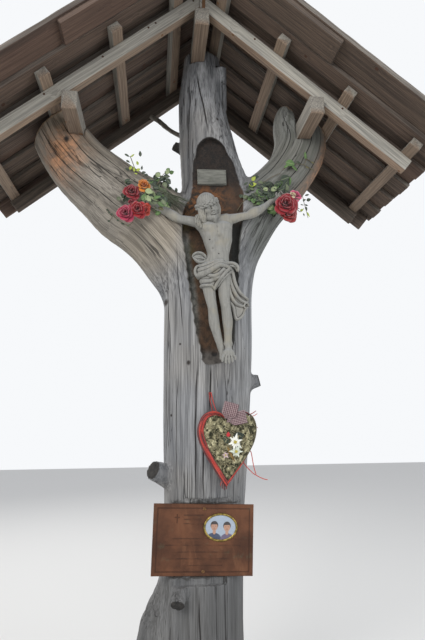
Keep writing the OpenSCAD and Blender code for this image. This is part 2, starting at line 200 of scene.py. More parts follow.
def branch_distance(x, y, z, root, end, r0, r1):
    """Distance from a round tapered branch from root to end, sawn off square at its end."""
    way = np.array(end) - root
    length = np.linalg.norm(way)
    way /= length
    t = (x - root[0]) * way[0] + (y - root[1]) * way[1] + (z - root[2]) * way[2]
    s = np.clip(t, 0, length)
    away = np.sqrt((x - root[0] - s * way[0]) ** 2 + (y - root[1] - s * way[1]) ** 2
                   + (z - root[2] - s * way[2]) ** 2)
    return np.maximum(away - (r0 + (r1 - r0) * s / length), t - length)


def niche_distance(x, y, z):
    """Distance from the hollow: a chain of rounds in the front view, open to the front and closed
    at the back by a floor that follows the trunk, all slightly uneven from the gouge."""
    best = np.full(np.broadcast(x, z).shape, np.inf)
    floor = np.zeros_like(best)
    for p, q in zip(NICHE[:-1], NICHE[1:]):
        t, away = beside(x, z, p, q)
        gap = away - (p[2] + (q[2] - p[2]) * t)
        near = gap < best
        best[near], floor[near] = gap[near], (p[3] + (q[3] - p[3]) * t)[near]
    flat = vectors(x, 0, z)
    gouged = np.abs(np.sin(np.pi * z / 0.037 + 1.5 * lumps(flat, (0.2, 1, 0.11), 13)))
    best = best + 0.004 * lumps(flat, (0.05, 1, 0.09), 11) + 0.005 * gouged * ease(-z, -1.85, -1.70)
    floor = floor + 0.0022 * lumps(flat, (0.022, 1, 0.034), 12)
    ledge = (y - NICHE_LEDGE[0]) * np.sin(LEDGE_SLOPE) - (z - NICHE_LEDGE[1]) * np.cos(LEDGE_SLOPE)
    return np.maximum(np.maximum(best, ledge), y - floor), np.maximum(best, ledge), y - floor


def trunk_parts(x, y, z):
    """Distances from the stem with its flare and branches, from the left arm and the right arm."""
    stem = limb_distance(y, limb_section(x, z, STEM), 0.018, 20)
    stem = np.maximum(stem, z - STEM_TOP)
    stem = soft_min(stem, limb_distance(y, limb_section(x, z, FLARE), 0.03, 0), FLARE_FILLET)
    for branch in BRANCHES:
        stem = soft_min(stem, branch_distance(x, y, z, *branch), BRANCH_FILLET)
    left = limb_distance(y, limb_section(x, z, LEFT_ARM), 0.02, 140)
    right = limb_distance(y, limb_section(x, z, RIGHT_ARM), 0.02, 250)
    return stem, left, right


def roof_distance(x, z):
    """How far a place is above the plane that lies UNDER_BOARDS below the boards."""
    return np.abs(x - RIDGE_X) * np.sin(PITCH) + (z - APEX_Z) * np.cos(PITCH) + UNDER_BOARDS


def trunk_distance(x, y, z):
    """The stem and both arms joined with fillets, less the niche, the beds and the plaque's seat, and
    less all that is above the boards' undersides or below the ground."""
    stem, left, right = trunk_parts(x, y, z)
    whole = soft_min(soft_min(stem, left, FORK_FILLET), right, FORK_FILLET)
    whole = soft_max(whole, -niche_distance(x, y, z)[0], NICHE_ARRIS)
    for middle, bed in PURLINS:
        whole = np.maximum(whole, -np.maximum(np.abs(x - middle) - PURLIN_W / 2 - BED_GAP, bed - z))
    seat = np.maximum(y - PLAQUE_SEAT_Y, np.abs(z - SEAT_MIDDLE) - SEAT_HALF)
    whole = soft_max(whole, -seat, 0.003)
    return np.maximum(np.maximum(whole, roof_distance(x, z)), -z)


def net_surface(value, axes, step):
    """The surface where a distance field is zero: one point in each grid cell that the surface
    crosses, at the mean of the crossings on that cell's edges, and one quad round each crossed edge."""
    cells = tuple(n - 1 for n in value.shape)
    inside = value < 0
    total = np.zeros(cells + (3,), np.float32)
    count = np.zeros(cells, np.float32)
    crossed = []
    for axis in range(3):
        first = [slice(None)] * 3
        second = [slice(None)] * 3
        first[axis], second[axis] = slice(0, -1), slice(1, None)
        v0, v1 = value[tuple(first)], value[tuple(second)]
        cut = inside[tuple(first)] != inside[tuple(second)]
        where = np.argwhere(cut)
        t = v0[cut] / (v0[cut] - v1[cut])
        place = where.astype(np.float32)
        place[:, axis] += t
        crossed.append((axis, where, inside[tuple(first)][cut]))
        others = [a for a in range(3) if a != axis]
        for shift in itertools.product((0, -1), repeat=2):
            cell = where.copy()
            cell[:, others] += shift
            good = np.all((cell >= 0) & (cell < np.array(cells)), axis=1)
            index = np.ravel_multi_index(cell[good].T, cells)
            np.add.at(count.reshape(-1), index, 1)
            for k in range(3):
                total[..., k].reshape(-1)[:] += np.bincount(index, place[good][:, k], total[..., k].size)
    used = count > 0
    number = np.full(cells, -1)
    number[used] = np.arange(used.sum())
    points = total[used] / count[used][:, None] * step + np.array([a[0] for a in axes])
    quads = []
    for axis, where, start_in in crossed:
        corners = []
        for shift in ((-1, -1), (0, -1), (0, 0), (-1, 0)):
            cell = where.copy()
            cell[:, [(axis + 1) % 3, (axis + 2) % 3]] += shift
            corners.append(number[tuple(np.clip(cell, 0, np.array(cells) - 1).T)])
        quad = np.stack(corners, axis=1)
        quad[~start_in] = quad[~start_in][:, ::-1]
        quads.append(quad)
    return points, np.concatenate(quads)


def settle(points, distance, rounds=2, reach=0.001):
    """Moves each point along the field's slope until it lies on the surface: p - f g / |g|^2."""
    for _ in range(rounds):
        f = distance(*points.T)
        g = np.stack([(distance(*(points + d).T) - f) / reach for d in reach * np.eye(3)], axis=1)
        size = np.maximum((g ** 2).sum(1), 0.05)
        points = points - np.clip(f / size, -0.004, 0.004)[:, None] * g
    return points


def add_mesh(name, points, faces, material=None, smooth=True, uv=None):
    """A mesh object at the origin from arrays of points and faces, with smooth or flat faces as asked, and a
    UV map where one is given.
    """
    mesh = bpy.data.meshes.new(name)
    mesh.from_pydata(np.asarray(points, float), [], faces)
    mesh.update()
    mesh.polygons.foreach_set("use_smooth", np.full(len(mesh.polygons), smooth))
    if uv is not None:
        corner = np.zeros(len(mesh.loops), np.int32)
        mesh.loops.foreach_get("vertex_index", corner)
        mesh.uv_layers.new(name="UVMap").data.foreach_set("uv", np.asarray(uv, float)[corner].ravel())
    piece = bpy.data.objects.new(name, mesh)
    bpy.context.scene.collection.objects.link(piece)
    if material:
        mesh.materials.append(material)
    return piece


def point_normals(mesh):
    """The mesh's normal at each point, one row a point."""
    out = np.zeros(len(mesh.vertices) * 3)
    mesh.vertex_normals.foreach_get("vector", out)
    return out.reshape(-1, 3)


def add_values(piece, name, values):
    """Stores a number or a vector for each point of a piece, for its material to read."""
    values = np.asarray(values, np.float32)
    kind = "FLOAT" if values.ndim == 1 else "FLOAT_VECTOR"
    layer = piece.data.attributes.new(name, kind, "POINT")
    layer.data.foreach_set("value" if values.ndim == 1 else "vector", values.ravel())


def operator(operation, flipped=False):
    """An operator of Flow, as one Math node. A flipped one takes the other value first."""
    def act(self, other):
        """The operation on this flow and the other, in that order or flipped."""
        values = (other, self) if flipped else (self, other)
        return self.node("ShaderNodeMath", {"operation": operation}, dict(enumerate(values)))
    return act


def feed(tree, socket, value):
    """Links a Flow to a socket, or sets the socket to a plain value."""
    if isinstance(value, Flow):
        tree.links.new(value.socket, socket)
    else:
        socket.default_value = value


class Flow:
    """One output socket in a material. Operators on it add Math nodes, and node() adds any other."""

    __add__ = __radd__ = operator("ADD")
    __mul__ = __rmul__ = operator("MULTIPLY")
    __sub__, __rsub__ = operator("SUBTRACT"), operator("SUBTRACT", True)
    __truediv__, __rtruediv__ = operator("DIVIDE"), operator("DIVIDE", True)
    __pow__ = operator("POWER")

    def __init__(self, tree, socket=None):
        """A flow is an output socket and the tree that holds it."""
        self.tree, self.socket = tree, socket

    def __neg__(self):
        """The flow times minus one."""
        return self * -1.0

    def node(self, kind, settings=None, values=None, out=0):
        """Adds a node, sets its settings, feeds its inputs, and gives the flow out of it."""
        made = self.tree.nodes.new(kind)
        for name, value in (settings or {}).items():
            setattr(made, name, value)
        for key, value in (values or {}).items():
            feed(self.tree, made.inputs[key], value)
        return Flow(self.tree, made.outputs[out])

    def math(self, operation, *others):
        """One Math node with this flow as its first value."""
        return self.node("ShaderNodeMath", {"operation": operation}, dict(enumerate((self,) + others)))

    def vector(self, operation, other=(0, 0, 0), out=0):
        """One Vector Math node with this flow as its first value."""
        return self.node("ShaderNodeVectorMath", {"operation": operation}, {0: self, 1: other}, out)

    def between(self, low, high):
        """0 at low, 1 at high and eased between, clamped outside."""
        return self.node("ShaderNodeMapRange", {"interpolation_type": "SMOOTHSTEP"},
                         {"Value": self, "From Min": low, "From Max": high})

    def noise(self, scale, detail=3.0, rough=0.55, warp=0.0, stretch=None):
        """A noise at this flow's place, drawn out by the stretch."""
        at = self.vector("MULTIPLY", stretch) if stretch else self
        return self.node("ShaderNodeTexNoise", {}, {"Vector": at, "Scale": scale, "Detail": detail,
                                                     "Roughness": rough, "Distortion": warp})

    def mix(self, a, b):
        """Colour a where this number is 0 and colour b where it is 1. Three plain numbers are a colour
        as seen on a screen."""
        a, b = (srgb(*c) if isinstance(c, tuple) and len(c) == 3 else c for c in (a, b))
        return self.node("ShaderNodeMix", {"data_type": "RGBA"}, {0: self, 6: a, 7: b}, 2)

    def over(self, *layers):
        """This colour with each layer's colour laid over it where that layer's mask is 1."""
        colour = self
        for mask, tone in layers:
            colour = mask.mix(colour, tone)
        return colour

    def attribute(self, name, out="Fac"):
        """The flow of a value stored at each point."""
        return self.node("ShaderNodeAttribute", {"attribute_name": name}, {}, out)

    def axes(self):
        """The flow's x, y and z."""
        split = self.node("ShaderNodeSeparateXYZ", {}, {0: self})
        return [Flow(self.tree, s) for s in split.socket.node.outputs]


def finish_of(name, colour, rough, height=None, depth=0.001, **constants):
    """A material whose colour, roughness and relief are functions of a Flow. Plain numbers for the
    relief are those of a noise."""
    material = bpy.data.materials.new(name)
    material.use_nodes = True
    tree = material.node_tree
    shader = tree.nodes["Principled BSDF"]
    start = Flow(tree)
    place = start.node("ShaderNodeTexCoord", {}, {}, "Object")
    for key, value in (("Base Color", colour), ("Roughness", rough)):
        feed(tree, shader.inputs[key], value(place) if callable(value) else value)
    if height:
        high = height(place) if callable(height) else place.noise(*height)
        bump = start.node("ShaderNodeBump", {}, {"Distance": depth, "Height": high})
        tree.links.new(bump.socket, shader.inputs["Normal"])
    for key, value in constants.items():
        shader.inputs[key.replace("_", " ")].default_value = value
    return material


low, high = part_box("trunk")
axes = [np.arange(a - 1.5 * TRUNK_STEP, b + 2.5 * TRUNK_STEP, TRUNK_STEP) for a, b in zip(low, high)]
field = trunk_distance(*np.meshgrid(*axes, indexing="ij", sparse=True))
points, quads = net_surface(field.astype(np.float32), axes, TRUNK_STEP)
points = settle(points, trunk_distance)
points[:, 2] = np.maximum(points[:, 2], 0)

# The run of the grain bends from the stem into each arm. Every pattern is worked out both along the
# stem and along the arm, and mixed by the share of the arm.
px, py, pz = points.T
stem_gap, left_gap, right_gap = trunk_parts(px, py, pz)
along_arm, arm = points.copy(), np.zeros(len(points))
for line, gap in ((LEFT_ARM, left_gap), (RIGHT_ARM, right_gap)):
    side, along = limb_section(px, pz, line)[:2]
    share = ease(stem_gap - gap, -0.03, 0.05) * ease(pz, 1.56, 1.76)
    nearer = (share > arm)[:, None]
    along_arm = np.where(nearer, vectors(side, py, along), along_arm)
    arm = np.maximum(arm, share)

hollow, outline, depth_left = niche_distance(px, py, pz)
in_niche = ease(-hollow, -0.010, 0.001) * ease(-outline, -0.012, 0.002)
left_rim = ease(outline, -0.030, -0.014) * ease(-px, 0.02, 0.05) * ease(-pz, -1.86, -1.78)
niche_wall = in_niche * np.maximum(ease(-depth_left, 0.005, 0.014), left_rim)
hewn = ease(roof_distance(px, pz), -0.010, -0.002)
# Where bark and grey were cut away, the wood shows tan: the outer face at the left arm's end, and
# the underside of the right arm.
end_face = np.exp(-((px + 0.560) / 0.075) ** 2 - ((pz - 2.150) / 0.095) ** 2) * ease(-py, 0.0, 0.05)
right_side = limb_section(px, pz, RIGHT_ARM)[0]
underside = (ease(right_side, 0.050, 0.110) * ease(px, 0.14, 0.24) * ease(-pz, -2.40, -2.26)
             * ease(pz, 1.92, 2.12) * arm)
tan = np.maximum(end_face, 0.6 * underside)
# Sawn ends: dark end grain, made darker by painted shade.
sawn_end_and_stub_shade = np.zeros(len(points))
for root, end, r0, r1 in BRANCHES:
    way = unit(np.array(end) - root)
    from_end = points - end
    along_branch = from_end @ way
    radial = np.linalg.norm(from_end - along_branch[:, None] * way, axis=1)
    # The small stub at the stem's left side is painted dark over its whole length, as shade.
    near = (-0.066, -0.046) if r1 < 0.020 else (-0.006, -0.001)
    end_grain_and_stub_shade = ease(along_branch, *near) * ease(-radial, -r1 * 1.35, -r1 * 1.15)
    sawn_end_and_stub_shade = np.maximum(sawn_end_and_stub_shade, end_grain_and_stub_shade * ease(-along_branch, -0.02, -0.01))

trunk = add_mesh("trunk_wood", points, quads)
normals = point_normals(trunk.data)
on_seat = ease(-py, 0.1195, 0.1215) * ease(-np.abs(pz - SEAT_MIDDLE), -0.15, -0.14)
free = 1 - np.maximum(np.maximum(sawn_end_and_stub_shade, hewn), on_seat)


def fluted(at):
    """Shallow flutes along the grain, three sizes of noise drawn out along it."""
    return (0.0032 * lumps(at, (0.09, 0.09, 0.50), 1) + 0.0017 * lumps(at, (0.030, 0.030, 0.36), 2)
            + 0.0008 * lumps(at, (0.014, 0.014, 0.20), 3))


relief = fluted(points) * (1 - arm) + fluted(along_arm) * arm
gouges = (0.0016 * lumps(points, (0.02, 0.02, 0.028), 4)
          + 0.0012 * lumps(points, (0.011, 0.011, 0.013), 5) * ease(pz, 1.85, 1.95))
points = points + normals * (relief * free * (1 - in_niche) + in_niche * gouges)[:, None]
points[:, 2] = np.maximum(points[:, 2], 0)
trunk.data.vertices.foreach_set("co", points.ravel())
trunk.data.update()
# The sawn value carries the dark end grain and the painted shade on the sawn stubs.
for name, values in (("along_arm", along_arm), ("arm", arm), ("niche", in_niche), ("wall", niche_wall),
                     ("hewn", hewn), ("sawn", sawn_end_and_stub_shade), ("tan", tan)):
    add_values(trunk, name, values)

# Long drying cracks on the stem's front: x and z at the upper end, x and z at the lower end, half width.
STEM_CRACKS = [
    (0.012, 1.310, 0.008, 1.130, 0.0030), (-0.040, 1.330, -0.046, 0.820, 0.0022),
    (-0.014, 1.100, -0.016, 0.820, 0.0022), (-0.108, 1.300, -0.112, 0.840, 0.0010),
    (0.064, 1.290, 0.070, 1.160, 0.0009), (-0.034, 2.560, 0.012, 2.240, 0.0028),
    (-0.066, 2.560, -0.058, 2.300, 0.0010), (-0.120, 1.830, -0.090, 1.420, 0.0014),
    (-0.146, 1.560, -0.128, 1.330, 0.0011), (-0.030, 0.545, -0.034, 0.060, 0.0024),
    (0.060, 0.545, 0.062, 0.200, 0.0013), (-0.100, 0.420, -0.135, 0.050, 0.0018),
]
# Cracks along an arm: x of the row, the run's start and end along the arm, half width.
ARM_CRACKS = [
    (-0.062, 0.42, 0.98, 0.0014), (-0.020, 0.55, 0.86, 0.0008), (0.020, 0.34, 0.95, 0.0015),
    (0.062, 0.30, 0.92, 0.0012), (0.105, 0.20, 0.75, 0.0010), (-0.100, 0.50, 0.80, 0.0007),
]
# Small knots: x and z, radius.
KNOTS = [(-0.547, 2.196, 0.012), (-0.153, 1.560, 0.011), (-0.070, 1.320, 0.008), (0.030, 1.350, 0.013),
         (-0.130, 1.130, 0.004), (0.052, 2.330, 0.006), (-0.100, 1.390, 0.004)]


def grown(place, pattern):
    """A pattern laid along the stem and along the arm, mixed by the share of the arm."""
    share = place.attribute("arm")
    return pattern(place) * (1 - share) + pattern(place.attribute("along_arm", "Vector")) * share


def greatest(masks):
    """The largest of the masks at each place."""
    whole = masks[0]
    for mask in masks[1:]:
        whole = whole.math("MAXIMUM", mask)
    return whole


def streaks(grain):
    """Pale and dark lines along the grain, from a few tenths of a millimetre to a few wide."""
    fine, soft = grain.noise(1, 4, 0.6, 0.1, (260, 260, 5.0)), grain.noise(1, 3, 0.5, 0.2, (52, 52, 1.5))
    return fine * 0.55 + soft * 0.45


def checks(grain):
    """Fine drying checks: thin lines where a noise drawn out along the grain passes its middle
    value, open only in some stretches."""
    fine = grain.noise(1, 3, 0.5, 0.3, (36, 36, 0.9))
    stretch = grain.noise(1, 2, 0.5, 0.0, (9, 9, 2.4)).between(0.46, 0.66)
    return 1 - (fine - 0.5).math("ABSOLUTE").between(0.0, 0.022 * stretch + 0.0001)


def along_line(at, x0, z0, x1, z1, half):
    """1 on a crack's line from its upper to its lower end, thinner towards both, and 0 beside it."""
    x, y, z = at
    wobble = (z * 13 + x0 * 90).math("SINE") * 0.0022 + (z * 41 + x0 * 50).math("SINE") * 0.0009
    off = (x - ((z - z0) * ((x1 - x0) / (z1 - z0)) + x0) - wobble).math("ABSOLUTE")
    open_part = z.between(z1, z1 + (z0 - z1) * 0.25) * (1 - z.between(z1 + (z0 - z1) * 0.8, z0))
    return (1 - off.between(half * 0.4, half * 1.3)) * open_part


def trunk_cracks(place):
    """All open cracks as one number, 1 in the crack."""
    x, y, z = place.axes()
    side, _, run = place.attribute("along_arm", "Vector").axes()
    share = place.attribute("arm")
    front = 1 - y.between(-0.03, 0.0)
    stem = greatest([along_line((x, y, z), *row) for row in STEM_CRACKS])
    arms = greatest([along_line((side, y, run), middle, end, middle, start, half)
                     for middle, start, end, half in ARM_CRACKS])
    sound = 1 - place.attribute("niche").between(0.1, 0.5)
    return greatest([stem * front * (1 - share), arms * front * share, grown(place, checks) * 0.75]) * sound


def knot_spots(place):
    """1 in a knot's middle, falling to 0 at its rim, for each of the listed knots on the front."""
    x, y, z = place.axes()
    spots = []
    for kx, kz, r in KNOTS:
        away = (((x - kx) * (1 / r)) ** 2.0 + ((z - kz) * (0.75 / r)) ** 2.0).math("SQRT")
        spots.append(1 - (away + place.noise(60, 2) * 0.4).between(0.5, 1.4))
    return greatest(spots) * (1 - y.between(-0.06, -0.02))


def hollow_colour(place):
    """The niche: painted shadow at the top, under the arch, orange behind the head, brown to black
    behind the body, grey on its walls and dark on its ledge."""
    x, y, z = place.axes()
    mottle = place.noise(30, 5, 0.7, 0.8)
    fleck = place.noise(75, 4, 0.7, 1.2)
    patch = mottle.between(0.3, 0.7)
    green = place.noise(14, 3).between(0.45, 0.65) * (1 - x.between(-0.08, -0.03)) * z.between(1.55, 1.70)
    brown = patch.mix((40, 30, 20), (84, 60, 40)).over((green, (76, 66, 34)))
    right = (x.between(0.03, 0.12) * 0.8 * (0.5 + fleck)).math("MINIMUM", 1.0)
    orange = mottle.between(0.40, 0.62).mix((38, 29, 21), (112, 72, 40)).over(
        (fleck.between(0.50, 0.68) * 0.7, (44, 34, 28)), (right, (66, 50, 38)))
    dark = x.between(0.060, 0.105) * (1 - z.between(1.84, 1.93))
    # Painted shadow under the niche's arched top: near black over its upper part, with flecks below it.
    arch_shadow = z.between(1.98, 2.07) * 0.95 + fleck.between(0.5, 0.75) * 0.3 * z.between(1.94, 2.07)
    wall = place.attribute("wall") * (1 - z.between(1.80, 1.95) * 0.9)
    from_knot = ((x - 0.026) ** 2.0 + (z - 1.354) ** 2.0).math("SQRT") + fleck * 0.008
    knot = 1 - from_knot.between(0.012, 0.018)
    return brown.over(
        (z.between(1.86, 1.94), orange), (dark, (42, 42, 39)),
        (arch_shadow.math("MINIMUM", 1.0), fleck.between(0.40, 0.66).mix((10, 9, 8), (44, 35, 29))),
        (wall * 0.85, patch.mix((72, 73, 68), (126, 127, 122))),
        (1 - z.between(1.350, 1.380), patch.mix((48, 44, 40), (84, 79, 74)).over((knot, (28, 25, 23)))))


def plaque_seat_shadow(place):
    """Painted shadow in a narrow, uneven band along the plaque's upper and lower edge, in its seat."""
    x, y, z = place.axes()
    beyond = (z - 0.700).math("ABSOLUTE") - 0.119
    patch = place.noise(1, 4, 0.65, 0.5, (34, 34, 70))
    past = beyond.between(0.002, patch.between(0.35, 0.70) * 0.026 + 0.005)
    band = beyond.between(-0.004, 0.001) * (1 - past)
    width = (1 - x.math("ABSOLUTE").between(0.15, 0.18)) * (1 - y.between(-0.10, -0.08))
    return band * patch.between(0.36, 0.50) * width


def trunk_colour(place):
    """Silver-grey streaks, then layers over them: broad bands, warm parts, painted shade low down and
    on the back, darker on the right arm, tan places, knots, cracks, painted shadow round the plaque,
    the niche, hewn faces, and sawn ends made darker by painted shade."""
    x, y, z = place.axes()
    share = place.attribute("arm")
    line = grown(place, streaks).between(0.34, 0.66)
    broad = grown(place, lambda grain: grain.noise(1, 2, 0.5, 0.3, (9, 9, 0.9)))
    left = (1 - x.between(-0.15, 0.0)) * share
    warm = (place.noise(2.6, 3, 0.5).between(0.42, 0.68) * 0.2 + left * 0.5).math("MINIMUM", 1.0)
    # Painted shade: darker towards the bottom of the stem, under the plaque, and on the trunk's back.
    darkened = (1 - z.between(0.45, 0.95)) * 0.6 + y.between(0.0, 0.14) * 0.3
    bare = place.noise(30, 5, 0.65, 0.6).between(0.30, 0.70)
    # The sawn ends' colour: dark end grain, made darker by painted shade.
    ends = place.noise(60, 3, 0.6).between(0.3, 0.7).mix((26, 25, 24), (56, 53, 50))
    return line.mix((84, 85, 87), (160, 161, 162)).over(
        (broad.between(0.38, 0.70) * 0.6, (82, 85, 90)),
        (warm, line.mix((104, 94, 76), (166, 152, 128))),
        # The right arm, darker and greener: partly its own tone, partly painted shade.
        (x.between(0.10, 0.22) * share * 0.55, (84, 86, 74)),
        (darkened, (72, 70, 66)),
        ((place.attribute("tan") * (0.55 + bare * 0.60)).math("MINIMUM", 1.0),
         bare.mix((124, 84, 56), (206, 152, 112))),
        (knot_spots(place), (44, 38, 34)),
        (trunk_cracks(place), (34, 31, 29)),
        # Painted shadow in the plaque's seat, above and below the plaque.
        (plaque_seat_shadow(place) * 0.9, (44, 40, 36)),
        (place.attribute("niche").between(0.25, 0.75), hollow_colour(place)),
        (place.attribute("hewn") * 0.8, bare.mix((150, 118, 88), (198, 168, 132))),
        (place.attribute("sawn").between(0.3, 0.8), ends))


def trunk_relief(place):
    """The streaks raised, less the cracks and the knots, with gouge marks in the niche."""
    rough_niche = (place.noise(70, 4, 0.7) * 1.6 + place.noise(200, 3, 0.7)) * place.attribute("niche")
    return grown(place, streaks) * 0.6 - trunk_cracks(place) * 2.4 - knot_spots(place) * 1.5 + rough_niche


weathered_trunk = finish_of("weathered_trunk", trunk_colour, 0.86, trunk_relief, 0.0022)
trunk.data.materials.append(weathered_trunk)
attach(trunk, "root")
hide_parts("trunk")

# The roof frame: three purlins that lie in beds on the trunk's ends, two pairs of rafters notched
# over them, and battens nailed across. All are planed softwood laths, greyed, with brown
# undersides where no sun reaches.

PURLIN_Y = (-0.290, 0.345)
RAFTER_H, RAFTER_T, RAFTER_REACH = 0.052, 0.038, 0.825
RAFTER_FRONTS = {"front": -0.267, "back": 0.292}
BATTEN_AT = (0.081, 0.306, 0.555, 0.800)
BATTEN_W, BATTEN_T = 0.046, 0.034
BATTEN_Y = (-0.335, 0.350)


def bar_section(width, height, arris):
    """Outline of a bar's section: a rectangle whose corners are quarter circles of radius arris,
    with extra points along its sides."""
    half = np.array([width, height]) / 2
    turns = np.radians([[0, 45, 90], [90, 135, 180], [180, 225, 270], [270, 315, 360]])
    middles = (half - arris) * np.array([[1, 1], [-1, 1], [-1, -1], [1, -1]])
    corners = middles[:, None] + arris * vectors(np.cos(turns), np.sin(turns))
    nexts = np.roll(corners, -1, axis=0)[:, 0]
    outline = []
    for corner, following, span in zip(corners, nexts, (width, height, width, height)):
        share = np.linspace(0, 1, max(int(span / 0.011), 1) + 1)[1:-1, None]
        outline += [corner, corner[-1] + (following - corner[-1]) * share]
    return np.vstack(outline)


def ring_faces(rings, sides, closed=True, looped=False):
    """Quads between successive rings of points that are stored one after another. A looped run of
    rings goes on from the last one to the first."""
    i, k = np.meshgrid(np.arange(rings if looped else rings - 1), np.arange(sides if closed else sides - 1),
                       indexing="ij")
    i, j, further = i * sides, (k + 1) % sides, (i + 1) % rings * sides
    return vectors(i + k, i + j, further + j, further + k).reshape(-1, 4).tolist()


def capped(rings, sides):
    """Quads between rings, with one flat face on the first and the last ring."""
    last = (rings - 1) * sides
    return ring_faces(rings, sides) + [list(range(sides))[::-1], list(range(last, last + sides))]


def sawn(length, width, height, seed, arris=0.002, bow=0.0012, worn=0.0005):
    """A sawn timber as points (along, across, up): the bar's section at each station along it, moved
    out by worn x noise drawn out along the grain, and up by bow sin(pi t)."""
    rng = np.random.default_rng(seed)
    shift = rng.uniform(0, 9, 3)
    (a0, a1), (b0, b1), (c0, c1) = length, width, height
    section = bar_section(b1 - b0, c1 - c0, arris)
    tangent = np.roll(section, -1, axis=0) - np.roll(section, 1, axis=0)
    out = unit(vectors(tangent[:, 1], -tangent[:, 0]))
    along = np.linspace(a0 + arris, a1 - arris, int((a1 - a0) / 0.022) + 2)
    along = np.concatenate([[a0], along, [a1]])
    t = (along - a0) / (a1 - a0)
    inner = np.ones((len(along), 2))
    inner[[0, -1]] = 1 - 2 * arris / np.array([b1 - b0, c1 - c0])
    flat = section[None] * inner[:, None]
    at = vectors(along[:, None], flat[..., 0], flat[..., 1])
    wave = (worn * lumps(at + shift, (0.16, 0.011, 0.011), seed)
            + worn * lumps(at + shift, (0.05, 0.03, 0.03), seed + 1))
    flat = flat + out[None] * (wave - worn)[..., None]
    lift = rng.uniform(-bow, bow) * np.sin(np.pi * t)
    points = vectors(at[..., 0], flat[..., 0] + (b0 + b1) / 2, flat[..., 1] + (c0 + c1) / 2 + lift[:, None])
    values = {"grain": (at + shift).reshape(-1, 3),
              "under": np.repeat((out[None, :, 1] < -0.5) * 1.0, len(along), 0).ravel(),
              "tone": np.full(at[..., 0].size, rng.uniform(0, 1))}
    return points.reshape(-1, 3), capped(len(along), len(section)), values


def gather(shapes):
    """One set of points, faces and values from several, with each shape's face numbers moved up."""
    starts = np.cumsum([0] + [len(s[0]) for s in shapes[:-1]])
    faces = [[n + start for n in face] for start, s in zip(starts.tolist(), shapes) for face in s[1]]
    values = {k: np.concatenate([s[2][k] for s in shapes]) for k in shapes[0][2]}
    return np.concatenate([s[0] for s in shapes]), faces, values


def marked(shape, **marks):
    """The shape with one number for all its points under each of the given names."""
    points, faces, values = shape
    return points, faces, {**values, **{name: np.full(len(points), float(n)) for name, n in marks.items()}}


def build(name, shapes, material, *replaced, slot=None, angle=40):
    """A piece from closed shapes, turned outwards, with its values and body set, and the parts that it
    replaces hidden. The slot, the material's name without the number that Blender adds to a second one
    where no slot is given, is worked out but not used."""
    points, faces, values = gather(shapes)
    piece = add_mesh(name, points, faces, material)
    shell = bmesh.new()
    shell.from_mesh(piece.data)
    bmesh.ops.recalc_face_normals(shell, faces=shell.faces)
    shell.to_mesh(piece.data)
    shell.free()
    if angle:
        piece.data.set_sharp_from_angle(angle=np.radians(angle))
    for key, value in values.items():
        add_values(piece, key, value)
    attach(piece, "root")
    if replaced:
        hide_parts(*replaced)
    slot = slot or material.name.partition(".")[0]
    return piece


def on_slope(points, side):
    """Places from slope measures: down the slope, back, and square to the slope."""
    u, y, n = points.T
    return vectors(RIDGE_X + side * (u * np.cos(PITCH) + n * np.sin(PITCH)), y,
                   APEX_Z - u * np.sin(PITCH) + n * np.cos(PITCH))


def plumb_cut(points, u0, u1):
    """Shears the upper end so that it stands upright at the ridge, and leaves the lower end square."""
    u, y, n = points.T
    start = 0.0005 - n * np.tan(PITCH)
    return vectors(start + (u - u0) * (u1 - start) / (u1 - u0), y, n)


def down_slope(side, y0, y1, n0, n1, reach, seed, **wear):
    """A timber that runs from the ridge down the slope to a level distance, its reach."""
    u0, u1 = 0.0005 - (n0 + n1) / 2 * np.tan(PITCH), reach / np.cos(PITCH)
    points, faces, values = sawn((u0, u1), (y0, y1), (n0, n1), seed, **wear)
    return on_slope(plumb_cut(points, u0, u1), side), faces, values


def knot_gap(grain, along, across):
    """Distance in metres from the nearest knot, with one knot at a random place in each cell of the
    sawn face, and a random number for each knot."""
    scaled = grain.vector("DIVIDE", (along, across, 1.0))
    found = scaled.node("ShaderNodeTexVoronoi", {"voronoi_dimensions": "2D"},
                        {"Vector": scaled, "Scale": 1.0}, "Position")
    away = scaled.vector("SUBTRACT", found).vector("MULTIPLY", (along, across, 0.0))
    chance = Flow(grain.tree, found.socket.node.outputs["Color"]).axes()[0]
    return away.vector("LENGTH", out="Value"), chance


def timber_grain(place, along=0.30, across=0.075):
    """Lines of a sawn softwood face that part round its knots, the knots, and the rings in them."""
    grain = place.attribute("grain", "Vector")
    gap, chance = knot_gap(grain, along, across)
    near = (0.030 - gap).between(0.0, 0.030) * 0.006
    bend = grain.vector("ADD", grain.node("ShaderNodeCombineXYZ", {}, {"Y": near, "Z": near}))
    lines = bend.noise(1, 4, 0.6, 0.25, (5.0, 210, 210))
    knot = 1 - (gap - (chance * 0.006 + 0.003)).between(-0.0010, 0.0014)
    rings = (gap * 2600).math("SINE") * 0.5 + 0.5
    return grain, lines, knot * (chance - 0.25).between(0.0, 0.02), rings


def timber_colour(place):
    """Grain lines in two greys, browner undersides, then patches, each lath's own tone, a darker brown
    that is partly a staining and partly painted shade, and knots."""
    grain, lines, knot, rings = timber_grain(place)
    line = lines.between(0.3, 0.75)
    return line.mix((132, 130, 124), (190, 186, 174)).over(
        (place.attribute("under") * 0.75, line.mix((112, 84, 62), (160, 128, 98))),
        (grain.noise(1, 4, 0.6, 0.4, (2.2, 30, 30)).between(0.52, 0.75) * 0.5, (98, 92, 86)),
        (place.attribute("tone") * 0.25, (120, 112, 100)),
        (place.attribute("stain"), line.mix((48, 40, 34), (92, 78, 66))),
        (knot, rings.mix((96, 66, 44), (140, 104, 74))))


def timber_relief(place):
    """The grain lines raised, and the rings of the knots."""
    grain, lines, knot, rings = timber_grain(place)
    return lines * 0.8 + knot * rings * 0.3


roof_timber = finish_of("roof_timber", timber_colour, 0.82, timber_relief, 0.0012)
HANDS = ((-1, "left"), (1, "right"))


def turned(shape):
    """The same timber, running from front to back."""
    points, faces, values = shape
    return points[:, [1, 0, 2]], faces, values


